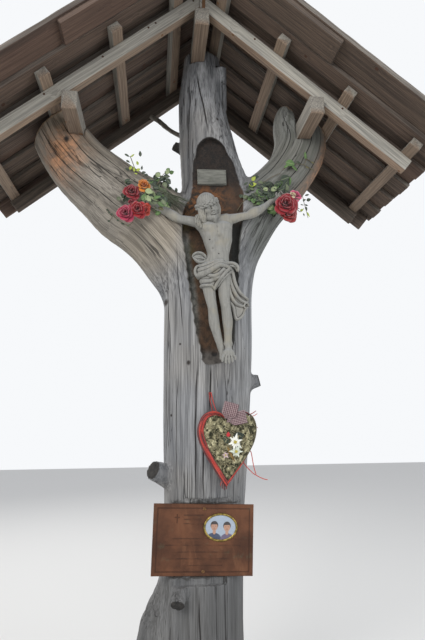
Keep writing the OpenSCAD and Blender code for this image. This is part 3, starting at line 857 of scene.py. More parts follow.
for node, (middle, bed) in zip(("ridge_purlin", "left_purlin", "right_purlin"), PURLINS):
    purlin = sawn(PURLIN_Y, (middle - PURLIN_W / 2, middle + PURLIN_W / 2), (bed, bed + PURLIN_H),
                  40 + len(node), bow=0.0)
    build(node + "_wood", [marked(turned(purlin), stain=0.35)], roof_timber, node)
# The back rafters take the darker brown almost fully, as painted shade on the faces that look to the front.
# The purlins and battens take a little of it.
for end, front, stain in (("front", RAFTER_FRONTS["front"], 0.0), ("back", RAFTER_FRONTS["back"], 0.9)):
    for side, hand in HANDS:
        rafter = down_slope(side, front, front + RAFTER_T, -RAFTER_H, 0, RAFTER_REACH,
                            50 + side + int(front * 100), bow=0)
        node = "%s_rafter_%s" % (end, hand)
        build(node + "_wood", [marked(rafter, stain=stain)], roof_timber, node)
for side, hand in HANDS:
    laths = []
    for i, level in enumerate(BATTEN_AT):
        middle = level / np.cos(PITCH)
        points, faces, values = turned(sawn(BATTEN_Y, (middle - BATTEN_W / 2, middle + BATTEN_W / 2),
                                            (0, BATTEN_T), 60 + 5 * side + i, bow=0.0))
        laths.append(marked((on_slope(points, side), faces, values), stain=0.25))
    build("battens_%s_wood" % hand, laths, roof_timber, "battens_" + hand)

# The roof skin: rough boards in two layers that run down the slope, the upper ones over the gaps
# of the lower ones, with a doubled verge board at the front and a pair of boards on the ridge.
# Their undersides stay dark brown and their tops weather grey.

BOARD_T, BOARD_W, BOARD_STEP = 0.020, 0.075, 0.143
EAVE_REACH, LOWER_FRONT, COVER_W = 0.883, -0.355, 0.100
VERGE_FRONT, ROOF_BACK, STRIP_REACH, RIDGE_REACH = -0.480, 0.372, 0.461, 0.112


def board_colour(place):
    """Grain lines in two dark browns, grey with moss where rain reaches, then patches and knots."""
    grain, lines, knot, rings = timber_grain(place, 0.45, 0.11)
    tone, line = place.attribute("tone"), lines.between(0.25, 0.8)
    moss = place.noise(22, 5, 0.65).between(0.56, 0.72) * place.noise(3, 2).between(0.45, 0.7)
    outer = line.mix((84, 80, 76), (150, 146, 138)).over((moss * 0.6, (104, 112, 72)),
                                                         (tone * 0.35, (92, 74, 62)))
    return line.mix((54, 46, 40), (112, 94, 80)).over(
        (tone.between(0.55, 1.0) * 0.4, (98, 70, 58)),
        (place.attribute("rain") * (1 - place.attribute("under")) * 0.9, outer),
        (grain.noise(1, 3, 0.5, 0.4, (1.6, 16, 16)).between(0.50, 0.72) * 0.6, (44, 36, 32)),
        (knot, rings.mix((40, 26, 20), (92, 60, 42))))


roof_board = finish_of("roof_board", board_colour, 0.88, timber_relief, 0.0024)


BOARD_WEAR = {"arris": 0.0016, "bow": 0.0009, "worn": 0.0009}
UNDER, OVER = BATTEN_T + BOARD_T, BATTEN_T + 2 * BOARD_T
GAPS = [LOWER_FRONT + BOARD_W + (BOARD_STEP - BOARD_W) / 2 + k * BOARD_STEP for k in range(4)]
LAPS = ([(VERGE_FRONT, LOWER_FRONT + 0.015)] + [(gap - COVER_W / 2, gap + COVER_W / 2) for gap in GAPS]
        + [(LOWER_FRONT + 4 * BOARD_STEP + BOARD_W - 0.015, ROOF_BACK)])


def board(side, y0, y1, n0, n1, reach, seed, rain):
    """A worn board down the slope, with the share of rain that it takes."""
    return marked(down_slope(side, y0, y1, n0, n1, reach, seed, **BOARD_WEAR), rain=rain)


for side, hand in HANDS:
    lower = []
    for k in range(5):
        y0 = LOWER_FRONT + k * BOARD_STEP
        lower.append(board(side, y0, y0 + BOARD_W, BATTEN_T, UNDER, EAVE_REACH - 0.003 * (k % 2),
                           80 + 10 * side + k, 0.55))
    cover = [board(side, y0, y1, UNDER, OVER, EAVE_REACH - 0.004 * ((k + 1) % 2), 110 + 10 * side + k, 1)
             for k, (y0, y1) in enumerate(LAPS)]
    closing = board(side, BATTEN_Y[1] + 0.0004, ROOF_BACK - 0.004, -0.022, UNDER - 0.0005,
                    EAVE_REACH - 0.012, 160 + side, 0.2)
    strip = board(side, VERGE_FRONT + 0.006, LOWER_FRONT - 0.008, BATTEN_T - 0.002, UNDER, STRIP_REACH,
                  140 + side, 0.2)
    u0, u1 = 0.0005 - (OVER + BOARD_T / 2) * np.tan(PITCH), RIDGE_REACH / np.cos(PITCH)
    points, faces, values = turned(sawn((VERGE_FRONT - 0.008, ROOF_BACK + 0.008), (u0, u1),
                                        (OVER, OVER + BOARD_T), 150 + side, **BOARD_WEAR))
    ridge = marked((on_slope(plumb_cut(points, u0, u1), side), faces, values), rain=1)
    build("closing_board_" + hand, [closing], roof_board)
    for node, shapes in (("lower_boards_", lower), ("cover_boards_", cover), ("verge_strip_", [strip]),
                         ("ridge_board_", [ridge])):
        build(node + hand + "_wood", shapes, roof_board, node + hand)

# Nails: round wire nails with flat, slightly domed heads, driven through the boards into the
# battens, two at a crossing, and through the rafters into the purlins. They are dark with rust.

NAIL_R, HEAD_SIDES = 0.0042, 10
# In the front rafters: x and z of each nail.
RAFTER_NAILS = [(-0.232, 2.630), (-0.205, 2.614), (-0.400, 2.468), (-0.606, 2.290), (-0.060, 2.722),
                (0.180, 2.586), (0.520, 2.318)]


def circle(sides):
    """Cosine and sine of evenly spread angles round a ring."""
    angle = np.arange(sides) * 2 * np.pi / sides
    return np.cos(angle), np.sin(angle)


def nail_heads(places, ways, radius):
    """Domed discs: height over the wood = 0.4 r (1 - (s/r)^4), as rings round each head's axis."""
    share = np.array([1.0, 1.0, 0.72, 0.3])
    rise = np.array([-0.5, 0.25, 0.40, 0.46])
    cos, sin = circle(HEAD_SIDES)
    disc = vectors(share[:, None] * cos, share[:, None] * sin, rise[:, None]).reshape(-1, 3) * radius
    shapes = []
    for place, way in zip(places, ways):
        turn = np.array(Vector(way).to_track_quat("Z", "Y").to_matrix())
        shapes.append((disc @ turn.T + place, capped(len(share), HEAD_SIDES), {}))
    return shapes


rng = np.random.default_rng(7)
places, ways = [], []
for side in (-1, 1):
    square = np.array([side * np.sin(PITCH), 0, np.cos(PITCH)])
    for level in BATTEN_AT:
        for y in GAPS + [-0.36, 0.352]:
            for off in (-0.022, 0.022):
                down = level / np.cos(PITCH) + rng.uniform(-0.006, 0.006)
                places.append(on_slope(np.array([[down, y + off * (abs(y) < 0.34), OVER - 0.0005]]), side)[0])
                ways.append(square)
for x, z in RAFTER_NAILS:
    depth = APEX_Z - abs(x - RIDGE_X) * np.tan(PITCH) - z
    places.append(np.array([x, RAFTER_FRONTS["front"] + 0.0008, z + min(0, depth - 0.014)]))
    ways.append(np.array([0, -1.0, 0]))


def rust_colour(place):
    """Two rusty browns, mixed by fine noise."""
    return place.noise(420, 3, 0.6).between(0.35, 0.7).mix((46, 38, 34), (104, 66, 44))


nail_rust = finish_of("nail_rust", rust_colour, 0.7, (600, 2), 0.0003, Metallic=0.35)
build("roof_nails", nail_heads(places, ways, NAIL_R), nail_rust, slot="screw_metal")

# The brace: a thin natural pole that props the back of the roof from the middle stem. It is barked,
# nailed at both ends, and weathered as grey as the trunk.

POLE = np.array([[-0.224, 0.270, 2.542], [-0.044, 0.104, 2.322]])
POLE_R, POLE_SIDES = 0.0105, 14


def tubes(paths, radius, sides):
    """Rods along many paths at once, one path to a row: a circle round each point of a path, square
    to it, as p + r (cos a side + sin a other)."""
    way = unit(np.gradient(paths, axis=1))
    side = unit(np.cross(way, (0, 1, 0)))
    cos, sin = circle(sides)
    r = np.broadcast_to(radius, paths.shape[:2])[..., None, None]
    round_it = cos[:, None] * side[:, :, None] + sin[:, None] * np.cross(side, way)[:, :, None]
    return (paths[:, :, None] + r * round_it).reshape(len(paths), -1, 3), capped(paths.shape[1], sides)


t = np.linspace(0, 1, 40)
path = POLE[0] + (POLE[1] - POLE[0]) * t[:, None]
path[:, 2] += 0.004 * np.sin(3 * t * np.pi)
radius = POLE_R + 0.0008 * np.sin(9 * t) + 0.0012 * np.exp(-((t - 0.35) / 0.03) ** 2)
points, faces = tubes(path[None], radius, POLE_SIDES)
points = points[0]
swell = lumps(points, (0.012, 0.012, 0.03), 21)[:, None]
points = points + 0.0006 * swell * (points - np.repeat(path, POLE_SIDES, axis=0)) / POLE_R
grain = vectors(points[:, 0] + 0.5, points[:, 1], np.repeat(t * 0.28, POLE_SIDES))
build("brace_pole_wood", [marked((points, faces, {"along_arm": grain}), arm=1)],
      weathered_trunk, "brace_pole", angle=60)

# The figure: carved in pine from one block as far as the shoulders, with both arms let in, and
# hung in the niche by a nail through each hand and through the crossed feet. Bare wood, weathered
# pale grey, with painted shade in the folds and painted skylight on what faces up.

FIGURE_Y = -169.0


def rod(a, b, ra, rb):
    """A link in millimetres: the distance from the line from a to b, less a radius that goes evenly
    from ra to rb."""
    a, b, ra, rb = np.array(a, float) / 1000, np.array(b, float) / 1000, ra / 1000, rb / 1000
    way = b - a

    def gap(x, y, z):
        """The distance to the nearest place on the line from a to b, less the radius there."""
        t = np.clip(((x - a[0]) * way[0] + (y - a[1]) * way[1] + (z - a[2]) * way[2]) / (way @ way), 0, 1)
        away = (x - a[0] - t * way[0]) ** 2 + (y - a[1] - t * way[1]) ** 2 + (z - a[2] - t * way[2]) ** 2
        return np.sqrt(away) - ra - (rb - ra) * t
    return gap, np.minimum(a - ra, b - rb), np.maximum(a + ra, b + rb)


def oval(middle, radii, turn=np.eye(3)):
    """An egg in millimetres: k0 (k0 - 1) / k1, with k0 the length of the place over the radii and k1
    its length over their squares. The columns of turn are its own directions."""
    middle, radii = np.array(middle, float) / 1000, np.array(radii, float) / 1000

    def gap(x, y, z):
        """The length of the place in the oval's own units, turned back into a distance."""
        own = [((x - middle[0]) * turn[0, k] + (y - middle[1]) * turn[1, k] + (z - middle[2]) * turn[2, k])
               / radii[k] for k in range(3)]
        k0 = np.sqrt(own[0] ** 2 + own[1] ** 2 + own[2] ** 2)
        k1 = np.sqrt((own[0] / radii[0]) ** 2 + (own[1] / radii[1]) ** 2 + (own[2] / radii[2]) ** 2)
        return k0 * (k0 - 1) / np.maximum(k1, 1e-6)
    reach = np.sqrt((turn ** 2) @ (radii ** 2))
    return gap, middle - reach, middle + reach


def combed(form, across, pitch, depth, wobble=0.3):
    """The same form with carved strands: depth x sin of the way across them over their pitch."""
    gap, low, high = form
    across = np.array(across, float) / np.linalg.norm(across)

    def strands(x, y, z):
        """The form, raised and sunk by a sine across the strands, which sway by two slower sines."""
        run = (x * across[0] + y * across[1] + z * across[2]) * 2000 * np.pi / pitch
        sway = wobble * np.sin(z * 170 + x * 60) + wobble * np.sin(z * 90 + y * 130)
        return gap(x, y, z) + depth / 1000 * np.sin(run + 2.4 * sway)
    return strands, low - depth / 1000, high + depth / 1000


def chain(stations, steps=3):
    """Links along a smooth line of stations x, y, z and radius."""
    line = smooth_line(stations, steps)
    return [rod(p[:3], q[:3], p[3], q[3]) for p, q in zip(line[:-1], line[1:])]


def carve(low, high, step, work):
    """A carved form: each form of the work is added to a distance field or cut from it, with a
    fillet of its own reach, and the surface is where the field is zero."""
    axes = [np.arange(a, b, step / 1000) for a, b in zip(np.array(low) / 1000, np.array(high) / 1000)]
    step = step / 1000
    field = np.full([len(a) for a in axes], 0.03, np.float32)
    for sign, (gap, a, b), reach in work:
        reach = reach / 1000
        block = tuple(slice(max(0, int((a[i] - reach - axes[i][0]) / step) - 3),
                            max(0, int((b[i] + reach - axes[i][0]) / step) + 4)) for i in range(3))
        x, y, z = np.meshgrid(*[axis[part] for axis, part in zip(axes, block)], indexing="ij", sparse=True)
        away = gap(x, y, z)
        if sign > 0:
            field[block] = soft_min(field[block], away, reach)
        else:
            field[block] = soft_max(field[block], -away, reach)
    return net_surface(field, axes, step)


def loft(stations, power=2.4):
    """A body through level ovals in millimetres: stations z, middle x and y, half-width a and
    half-depth b. The gap is ((|x| / a)^p + (|y| / b)^p)^(1 / p) - 1, times the smaller half."""
    line = smooth_line(stations, 5) / 1000
    line = line[np.argsort(line[:, 0])]

    def gap(x, y, z):
        """The length of the place in the units of the section at its height, less one, as a distance."""
        at = np.clip(z, line[0, 0], line[-1, 0])
        mx, my, a, b = (np.interp(at, line[:, 0], line[:, k]) for k in range(1, 5))
        round_it = (np.abs((x - mx) / a) ** power + np.abs((y - my) / b) ** power) ** (1 / power)
        return (round_it - 1) * np.minimum(a, b) + np.abs(z - at)
    wide = line[:, 3:5].max(0)
    low, high = line.min(0), line.max(0)
    return (gap, np.array([low[1] - wide[0], low[2] - wide[1], low[0]]),
            np.array([high[1] + wide[0], high[2] + wide[1], high[0]]))


def ridges(x, z, lines):
    """How high the folds stand: over each line, of stations x, z, half-width w and height h, it is
    h sqrt(1 - (d / w)^2) at the distance d from the line."""
    high = 0 * x * z
    for line in lines:
        line = smooth_line(line, 3) / 1000
        for p, q in zip(line[:-1], line[1:]):
            t, away = beside(x, z, p, q)
            w, h = p[2] + t * (q[2] - p[2]), p[3] + t * (q[3] - p[3])
            high = np.maximum(high, h * np.sqrt(np.clip(1 - (away / w) ** 2, 0, 1)))
    return high


def outline_gap(x, z, corners):
    """The distance from an outline of corners x, z, which is less than zero inside it."""
    gap, inside = np.inf, 0 * x * z > 1
    for p, q in zip(corners, np.roll(corners, -1, axis=0)):
        gap = np.minimum(gap, beside(x, z, p, q)[1])
        rise = q[1] - p[1] if q[1] != p[1] else 1e-9
        inside = inside ^ (((p[1] > z) != (q[1] > z)) & (x < p[0] + (z - p[1]) * (q[0] - p[0]) / rise))
    return np.where(inside, -gap, gap)


def hollows(piece, rounds=3):
    """How far each point lies in a fold: the mean of its neighbours, less itself, along its normal,
    as a share of the edge length, averaged over its neighbours a few times."""
    mesh = piece.data
    edges = np.zeros(len(mesh.edges) * 2, np.int32)
    mesh.edges.foreach_get("vertices", edges)
    points = np.zeros(len(mesh.vertices) * 3)
    mesh.vertices.foreach_get("co", points)
    a, b = edges.reshape(-1, 2).T
    points, n = points.reshape(-1, 3), len(mesh.vertices)
    count = np.maximum(np.bincount(np.r_[a, b], minlength=n), 1)

    def mean(values):
        """The sum over a point's neighbours, divided by their number."""
        return (np.bincount(a, values[b], n) + np.bincount(b, values[a], n)) / count
    span = mean(np.zeros(n)) + np.linalg.norm(points[a] - points[b], axis=1).mean()
    middle = np.stack([mean(points[:, k]) for k in range(3)], axis=1)
    deep = ((middle - points) * point_normals(mesh)).sum(1) / span
    for _ in range(rounds):
        deep = 0.5 * deep + 0.5 * mean(deep)
    return deep


def build_carved(name, node, nets, scale=1.0):
    """A piece from one or more carved surfaces, with its hollows and the way that it faces."""
    shapes = [(points, np.asarray(quads).tolist(), {}) for points, quads in nets]
    piece = build(name, shapes, carved_wood, node, angle=None)
    deep = hollows(piece)
    add_values(piece, "hollow", np.clip(deep * 9 * scale, -1, 1))
    # Which way each point faces, for the painted skylight on what faces up.
    add_values(piece, "facing_up", point_normals(piece.data)[:, 2])
    return piece


Y = FIGURE_Y
torso = loft([[1876, 25, Y + 7, 56, 22], [1850, 26, Y + 4, 69, 34], [1823, 31, Y + 2, 64, 40],
              [1803, 35, Y + 2, 59, 41], [1783, 39, Y + 2, 55, 39], [1760, 40, Y + 3, 49, 34],
              [1736, 41, Y + 2, 43, 33], [1720, 39, Y, 42, 34], [1697, 35, Y, 47, 36],
              [1680, 30, Y + 1, 55, 37], [1655, 29, Y + 2, 57, 37], [1628, 30, Y + 3, 54, 33]])
left_leg = [[5, Y + 2, 1650, 28], [4, Y - 3, 1601, 22.5], [9, Y - 8, 1560, 18.5], [16, Y - 13, 1522, 15.5],
            [20, Y - 10, 1490, 16.5], [23, Y - 7, 1464, 17], [30, Y - 5, 1436, 14.5], [36, Y - 4, 1414, 12.5],
            [42, Y - 3, 1394, 11.5], [49, Y - 4, 1368, 10.5]]
right_leg = [[61, Y + 2, 1650, 28], [61, Y - 5, 1592, 22], [62, Y - 12, 1552, 17.5], [65, Y - 17, 1524, 15.5],
             [69, Y - 14, 1494, 16.5], [72, Y - 12, 1466, 16.5], [73, Y - 10, 1434, 13],
             [73, Y - 10, 1406, 11.5], [74, Y - 11, 1384, 11.5]]
body_work = [
    (1, torso, 0), (1, rod((-27, Y + 4, 1850), (74, Y + 4, 1869), 21, 23), 16),
    (1, oval((3, Y - 22, 1824), (30, 20, 19)), 7), (1, oval((61, Y - 22, 1830), (30, 21, 19)), 7),
    (-1, rod((31, Y - 42, 1846), (37, Y - 44, 1792), 5, 5), 7),
    (-1, rod((42, Y - 46, 1782), (16, Y - 37, 1746), 13, 12), 9),
    (-1, rod((42, Y - 46, 1782), (72, Y - 36, 1750), 13, 12), 9),
    (1, oval((40, Y - 12, 1714), (27, 26, 31)), 12),
    (1, rod((12, Y - 10, 1886), (24, Y + 2, 1846), 20, 24), 10),
    (1, rod((22, Y - 22, 1853), (-20, Y - 12, 1858), 4, 4), 9),
    (1, rod((34, Y - 22, 1856), (70, Y - 12, 1880), 4, 4), 9),
    (-1, oval((5, Y - 32, 1776), (3.6, 9, 2.6)), 1), (-1, oval((38.5, Y - 40, 1720), (2.8, 7, 3.2)), 2),
    (-1, rod((33, Y - 46, 1622), (36, Y - 42, 1540), 8, 6), 10),
    (1, oval((15, Y - 23, 1521), (13, 10, 15)), 8), (1, oval((63, Y - 30, 1527), (14, 9, 16)), 8),
    (1, rod((17, Y - 24, 1500), (36, Y - 14, 1420), 4, 3), 9),
    (1, rod((66, Y - 30, 1506), (72, Y - 20, 1412), 4, 3), 9),
    (1, rod((49, Y - 4, 1370), (51, Y - 10, 1344), 11, 9), 5),
    (1, rod((47, Y - 12, 1346), (45, Y - 18, 1332), 6, 5), 3),
    (1, rod((63, Y - 9, 1386), (81, Y - 10, 1388), 8, 7.5), 6),
    (1, oval((71, Y - 29, 1348), (24, 10, 17)), 8),
    (1, rod((74, Y - 13, 1384), (73, Y - 25, 1354), 12, 13), 8),
]
for leg in (left_leg, right_leg):
    body_work += [(1, form, 7) for form in chain(leg, 3)]
for x, z, r in ((48, 1322, 5.6), (60, 1315, 5.2), (72, 1315, 4.8), (84, 1319, 4.6), (95, 1327, 4.4)):
    root = (73 + (x - 73) * 0.75, Y - 32, 1342)
    knuckle = (x, Y - 38, z + 9)
    body_work += [(1, rod(root, knuckle, r + 1, r), 2), (1, rod(knuckle, (x, Y - 39, z), r, r - 0.6), 1)]
body_work += [(1, oval((72, Y - 38, 1357), (4.2, 3, 4.2)), 0.6)]

# The bowed head, leaning to one side, with its own directions: right, back and up.
roll, turn_aside, bow_down = np.radians([20, 13, 20])
lean = np.array([[np.cos(roll), 0, -np.sin(roll)], [0, 1, 0], [np.sin(roll), 0, np.cos(roll)]])
aside = np.array([[np.cos(turn_aside), -np.sin(turn_aside), 0], [np.sin(turn_aside), np.cos(turn_aside), 0],
                  [0, 0, 1]])
nod = np.array([[1, 0, 0], [0, np.cos(bow_down), -np.sin(bow_down)], [0, np.sin(bow_down), np.cos(bow_down)]])
HEAD_TURN = lean @ aside @ nod
HEAD = np.array([1.0, Y - 29, 1905.0])


def head_rod(a, b, ra, rb):
    """A rod between two places given in the head's own directions."""
    return rod(HEAD + HEAD_TURN @ np.array(a, float), HEAD + HEAD_TURN @ np.array(b, float), ra, rb)


def head_oval(middle, radii):
    """An oval at a place given in the head's own directions, turned with the head."""
    return oval(HEAD + HEAD_TURN @ np.array(middle, float), radii, HEAD_TURN)


def hair_cap():
    """The hair over the skull: an egg with strands that run down from the crown, cut away in front
    of the face."""
    gap, low, high = head_oval((0, 9, 16), (36, 41, 38))
    face, _, _ = head_oval((0, -42, -10), (26, 32, 36))

    def strands(x, y, z):
        """The hair's form with a groove by a sine round the crown, cut away where the face is."""
        own = [(x - HEAD[0] / 1000) * HEAD_TURN[0, k] + (y - HEAD[1] / 1000) * HEAD_TURN[1, k]
               + (z - HEAD[2] / 1000) * HEAD_TURN[2, k] for k in range(2)]
        groove = 0.0007 * np.sin(26 * np.arctan2(own[0], own[1] - 0.012) + 3 * np.sin(z * 120))
        return soft_max(gap(x, y, z) + groove, -face(x, y, z), 0.002)
    return strands, low, high


ACROSS = HEAD_TURN @ np.array([1.0, 0.25, 0])
BOTH = (-1, 1)
head_work = [(1, head_oval((0, 6, 15), (32, 37, 34)), 0), (1, head_oval((0, -7, -14), (25.5, 28, 37)), 12),
             (1, head_oval((0, -25, 12), (20, 12, 13)), 9)]
head_work += [(-1, head_oval((12 * s, -38, 0.5), (8.5, 6.5, 5.2)), 4) for s in BOTH]
head_work += [(1, head_oval((12 * s, -29.5, -1), (7.6, 5.6, 5.0)), 1.5) for s in BOTH]
head_work += [
    (-1, head_rod((-18, -34, -3.4), (-6, -36, -3.8), 1.1, 1.1), 0.8),
    (-1, head_rod((6, -36, -3.8), (18, -34, -3.4), 1.1, 1.1), 0.8)]
head_work += [(1, head_oval((18 * s, -24, -12), (9, 8, 8)), 7) for s in BOTH]
head_work += [(1, head_rod((0, -34, 5), (0, -42, -14), 3.0, 4.4), 4)]
head_work += [(1, head_oval((4.6 * s, -36.5, -15), (3.2, 4, 3)), 2.5) for s in BOTH]
head_work += [
    (1, head_oval((0, -35.5, -24), (9, 4.2, 2.4)), 2), (1, head_oval((0, -35, -29), (8, 4.2, 2.8)), 2),
    (-1, head_rod((-8, -38.5, -26.6), (8, -38.5, -26.6), 1.0, 1.0), 0.8),
    (1, combed(head_oval((0, -14, -39), (24.5, 21, 17)), ACROSS, 5.4, 0.6), 3),
    (1, combed(head_rod((0, -31, -43), (1, -29, -56), 9.5, 6), ACROSS, 5.0, 0.6), 3)]
head_work += [(1, combed(head_rod((s, -38.5, -21), (12 * s, -32, -30), 2.9, 1.8), ACROSS, 3.0, 0.4), 1.5)
              for s in BOTH]
head_work += [
    (1, hair_cap(), 1.5), (1, combed(head_oval((0, 27, -16), (31, 17, 34)), ACROSS, 6, 1.0), 3),
    (1, combed(head_rod((-28, -13, 4), (-27, -12, -38), 9, 8), ACROSS, 5.4, 1.1), 3)]
for stations in ([[-31, -6, 14, 8], [-36, -5, -8, 10], [-36, -6, -34, 10], [-31, -10, -56, 7]],
                 [[31, -6, 16, 7], [35, -7, -6, 9], [32, -10, -26, 9], [27, -13, -42, 5]]):
    line = smooth_line(stations, 2)
    for p, q in zip(line[:-1], line[1:]):
        head_work.append((1, combed(head_rod(p[:3], q[:3], p[3], q[3]), ACROSS, 7.0, 0.7), 4))
lock_root = HEAD + HEAD_TURN @ np.array([-34, -8, -34])
for form in chain([[*lock_root, 11], [-38, Y - 22, 1862, 11], [-38, Y - 26, 1844, 9.5],
                   [-27, Y - 32, 1824, 5]], 2):
    head_work.append((1, combed(form, (1, 0.3, 0.2), 5.4, 1.3), 5))

LEFT_LIMB = [[-22, Y + 3, 1851, 19], [-43, Y + 3, 1854, 18.5], [-77, Y + 5, 1861, 15.5],
             [-106, Y + 7, 1866, 14.5], [-126, Y + 7, 1876, 17.5], [-153, Y + 8, 1893, 15.5],
             [-188, Y + 8, 1910, 12.5], [-226, Y + 9, 1931, 9.5], [-240, Y + 9, 1941, 9]]
RIGHT_LIMB = [[82, Y + 2, 1870, 18], [100, Y + 4, 1873, 17], [132, Y + 8, 1884, 14],
              [160, Y + 13, 1892, 13.5], [175, Y + 16, 1901, 16.5], [191, Y + 18, 1911, 18],
              [210, Y + 22, 1922, 14], [232, Y + 28, 1939, 11], [262, Y + 34, 1965, 10.5],
              [280, Y + 38, 1979, 9.5]]
arm_work = [(1, form, 5) for limb in (LEFT_LIMB, RIGHT_LIMB) for form in chain(limb, 3)]
for palm, way, y in (((-247, 1946), (-0.82, 0.57), Y + 7), ((288, 1984), (0.78, 0.62), Y + 40)):
    along, over = np.array([way[0], 0, way[1]]), np.array([-way[1], 0, way[0]]) * np.sign(way[0])
    middle = np.array([palm[0], y, palm[1]])
    frame_of_hand = vectors(along, [0, 1, 0], over)
    arm_work.append((1, oval(middle, (17, 7, 13), frame_of_hand), 5))
    thumb = rod(middle - 8 * along + 8 * over, middle + 4 * along + 16 * over - [0, 6, 0], 4.6, 3.8)
    arm_work.append((1, thumb, 3))
    for k in range(4):
        root = middle + 12 * along + (k - 1.5) * 6.0 * over
        knuckle = root + 9 * along + np.array([0, -5, 0])
        arm_work.append((1, rod(root, knuckle, 4.0, 3.6), 2))
        arm_work.append((1, rod(knuckle, knuckle - 2 * along + [0, -10, 0], 3.6, 3.0), 1))
    arm_work.append((1, oval(middle - [0, 8, 0], (3.6, 3, 3.6)), 0.5))

# The loincloth: a cloth wound round the hips and rolled on itself, knotted at one hip, with its
# end blown out to the side. It is carved with the body. Folds have stations x, z, half-width and
# height, in millimetres, and the cloth's edges are pairs of x and z.

CLOTH_TOP = ([-45, -17, 8, 30, 50, 70, 95], [1684, 1686, 1692, 1699, 1701, 1694, 1690])
CLOTH_HEM = ([-50, 14, 22, 34, 48, 64, 80, 100], [1598, 1594, 1582, 1592, 1612, 1630, 1645, 1662])
CLOTH_FOLDS = [
    [[-46, 1643, 12, 8], [-23, 1644, 12, 11], [-1, 1652, 11, 12], [20, 1665, 10, 12], [42, 1676, 9, 11],
     [66, 1673, 8, 9], [82, 1668, 7, 6]],
    [[-44, 1660, 10, 7], [-20, 1661, 10, 9], [4, 1669, 9, 10], [24, 1680, 8, 9], [44, 1687, 7, 8],
     [66, 1684, 6, 6]],
    [[-42, 1676, 8, 5], [-16, 1677, 8, 7], [8, 1684, 7, 7], [30, 1692, 6, 6], [52, 1694, 5, 5]],
    [[-4, 1641, 5, 4], [8, 1636, 7, 8], [22, 1635, 7.5, 9], [38, 1642, 7, 9], [51, 1655, 6, 7],
     [58, 1664, 5, 4]],
    [[12, 1624, 4, 3], [26, 1624, 6, 6], [38, 1632, 6.5, 7], [52, 1646, 6, 6], [62, 1660, 5, 4]],
    [[-42, 1620, 8, 5], [-17, 1617, 8, 6], [4, 1617, 7, 6], [18, 1623, 6, 4]],
    [[-42, 1604, 6, 6], [-22, 1601, 6.5, 7], [-2, 1600, 6.5, 7], [12, 1600, 5, 5], [20, 1592, 4, 4]],
    [[22, 1584, 5, 5], [29, 1603, 6.5, 8], [41, 1622, 7, 9], [57, 1642, 7, 9], [73, 1660, 6, 7],
     [82, 1668, 5, 4]],
    [[36, 1597, 3.5, 3], [47, 1617, 4.5, 5], [63, 1634, 4.5, 5], [78, 1648, 4, 3]],
]


def wrapped(forms, folds):
    """The body's form made thicker by 3 mm and by the folds, between the upper edge and the hem."""
    def gap(x, y, z):
        """The forms beneath, joined and raised by the cloth and its folds, between the top edge and the
        hem."""
        body = forms[0][0](x, y, z)
        for form in forms[1:]:
            body = soft_min(body, form[0](x, y, z), 0.010)
        top, hem = (np.interp(x, np.array(edge[0]) / 1000, np.array(edge[1]) / 1000)
                    for edge in (CLOTH_TOP, CLOTH_HEM))
        return soft_max(body - 0.003 - ridges(x, z, folds), np.maximum(z - top, hem - z) * 0.8, 0.0015)
    return gap, np.array([-0.07, -0.232, 1.570]), np.array([0.125, -0.12, 1.712])


def flap(outline, folds, middle, front=3.0, back=5.0):
    """A free end of the cloth: an outline of corners x, z about the level y = middle, with the folds
    standing forward of it."""
    corners = smooth_line(outline + outline[:1], 2)[:-1] / 1000
    middle, front, back = middle / 1000, front / 1000, back / 1000

    def gap(x, y, z):
        """The slab between its back and its front with the folds, cut to its outline."""
        high = front + ridges(x, z, folds)
        return soft_max(np.maximum(middle - high - y, y - middle - back), outline_gap(x, z, corners), 0.003)
    tall = max(fold[k][3] for fold in folds for k in range(len(fold))) / 1000
    low, high = corners.min(0) - 0.002, corners.max(0) + 0.002
    return (gap, np.array([low[0], middle - front - tall, low[1]]),
            np.array([high[0], middle + back, high[1]]))


hip_forms = [torso] + chain(left_leg[:3], 1) + chain(right_leg[:3], 1)
left_flare = flap(
    [[-4, 1700], [-18, 1686], [-34, 1687], [-48, 1697], [-60, 1716], [-49, 1729], [-34, 1733], [-18, 1729],
     [-5, 1717]],
    [[[-61, 1715, 4, 5], [-49, 1726, 5.5, 8], [-34, 1729, 6, 9], [-17, 1724, 6, 8], [-4, 1711, 6, 5]],
     [[-56, 1708, 4, 4], [-46, 1700, 5.5, 7], [-32, 1692, 6, 8], [-18, 1692, 6, 7], [-4, 1700, 5, 4]],
     [[-40, 1711, 3, 2], [-28, 1709, 4, 5], [-12, 1705, 4, 5]]], Y - 10)
left_turn = flap(
    [[-30, 1684], [-42, 1680], [-52, 1668], [-53, 1652], [-46, 1636], [-34, 1634], [-28, 1656]],
    [[[-33, 1681, 5, 5], [-45, 1670, 6, 8], [-48, 1655, 6, 8], [-42, 1640, 5.5, 6], [-34, 1636, 4, 4]]],
    Y - 10)
right_flare = flap(
    [[74, 1696], [92, 1695], [108, 1690], [119, 1674], [116, 1658], [108, 1658], [101, 1670], [92, 1674],
     [76, 1668]],
    [[[74, 1690, 6, 6], [90, 1689, 7, 9], [105, 1683, 7, 9], [113, 1671, 6, 8], [112, 1660, 4, 4]],
     [[76, 1677, 5, 6], [90, 1679, 5, 6], [101, 1674, 4, 4]]], Y - 18)
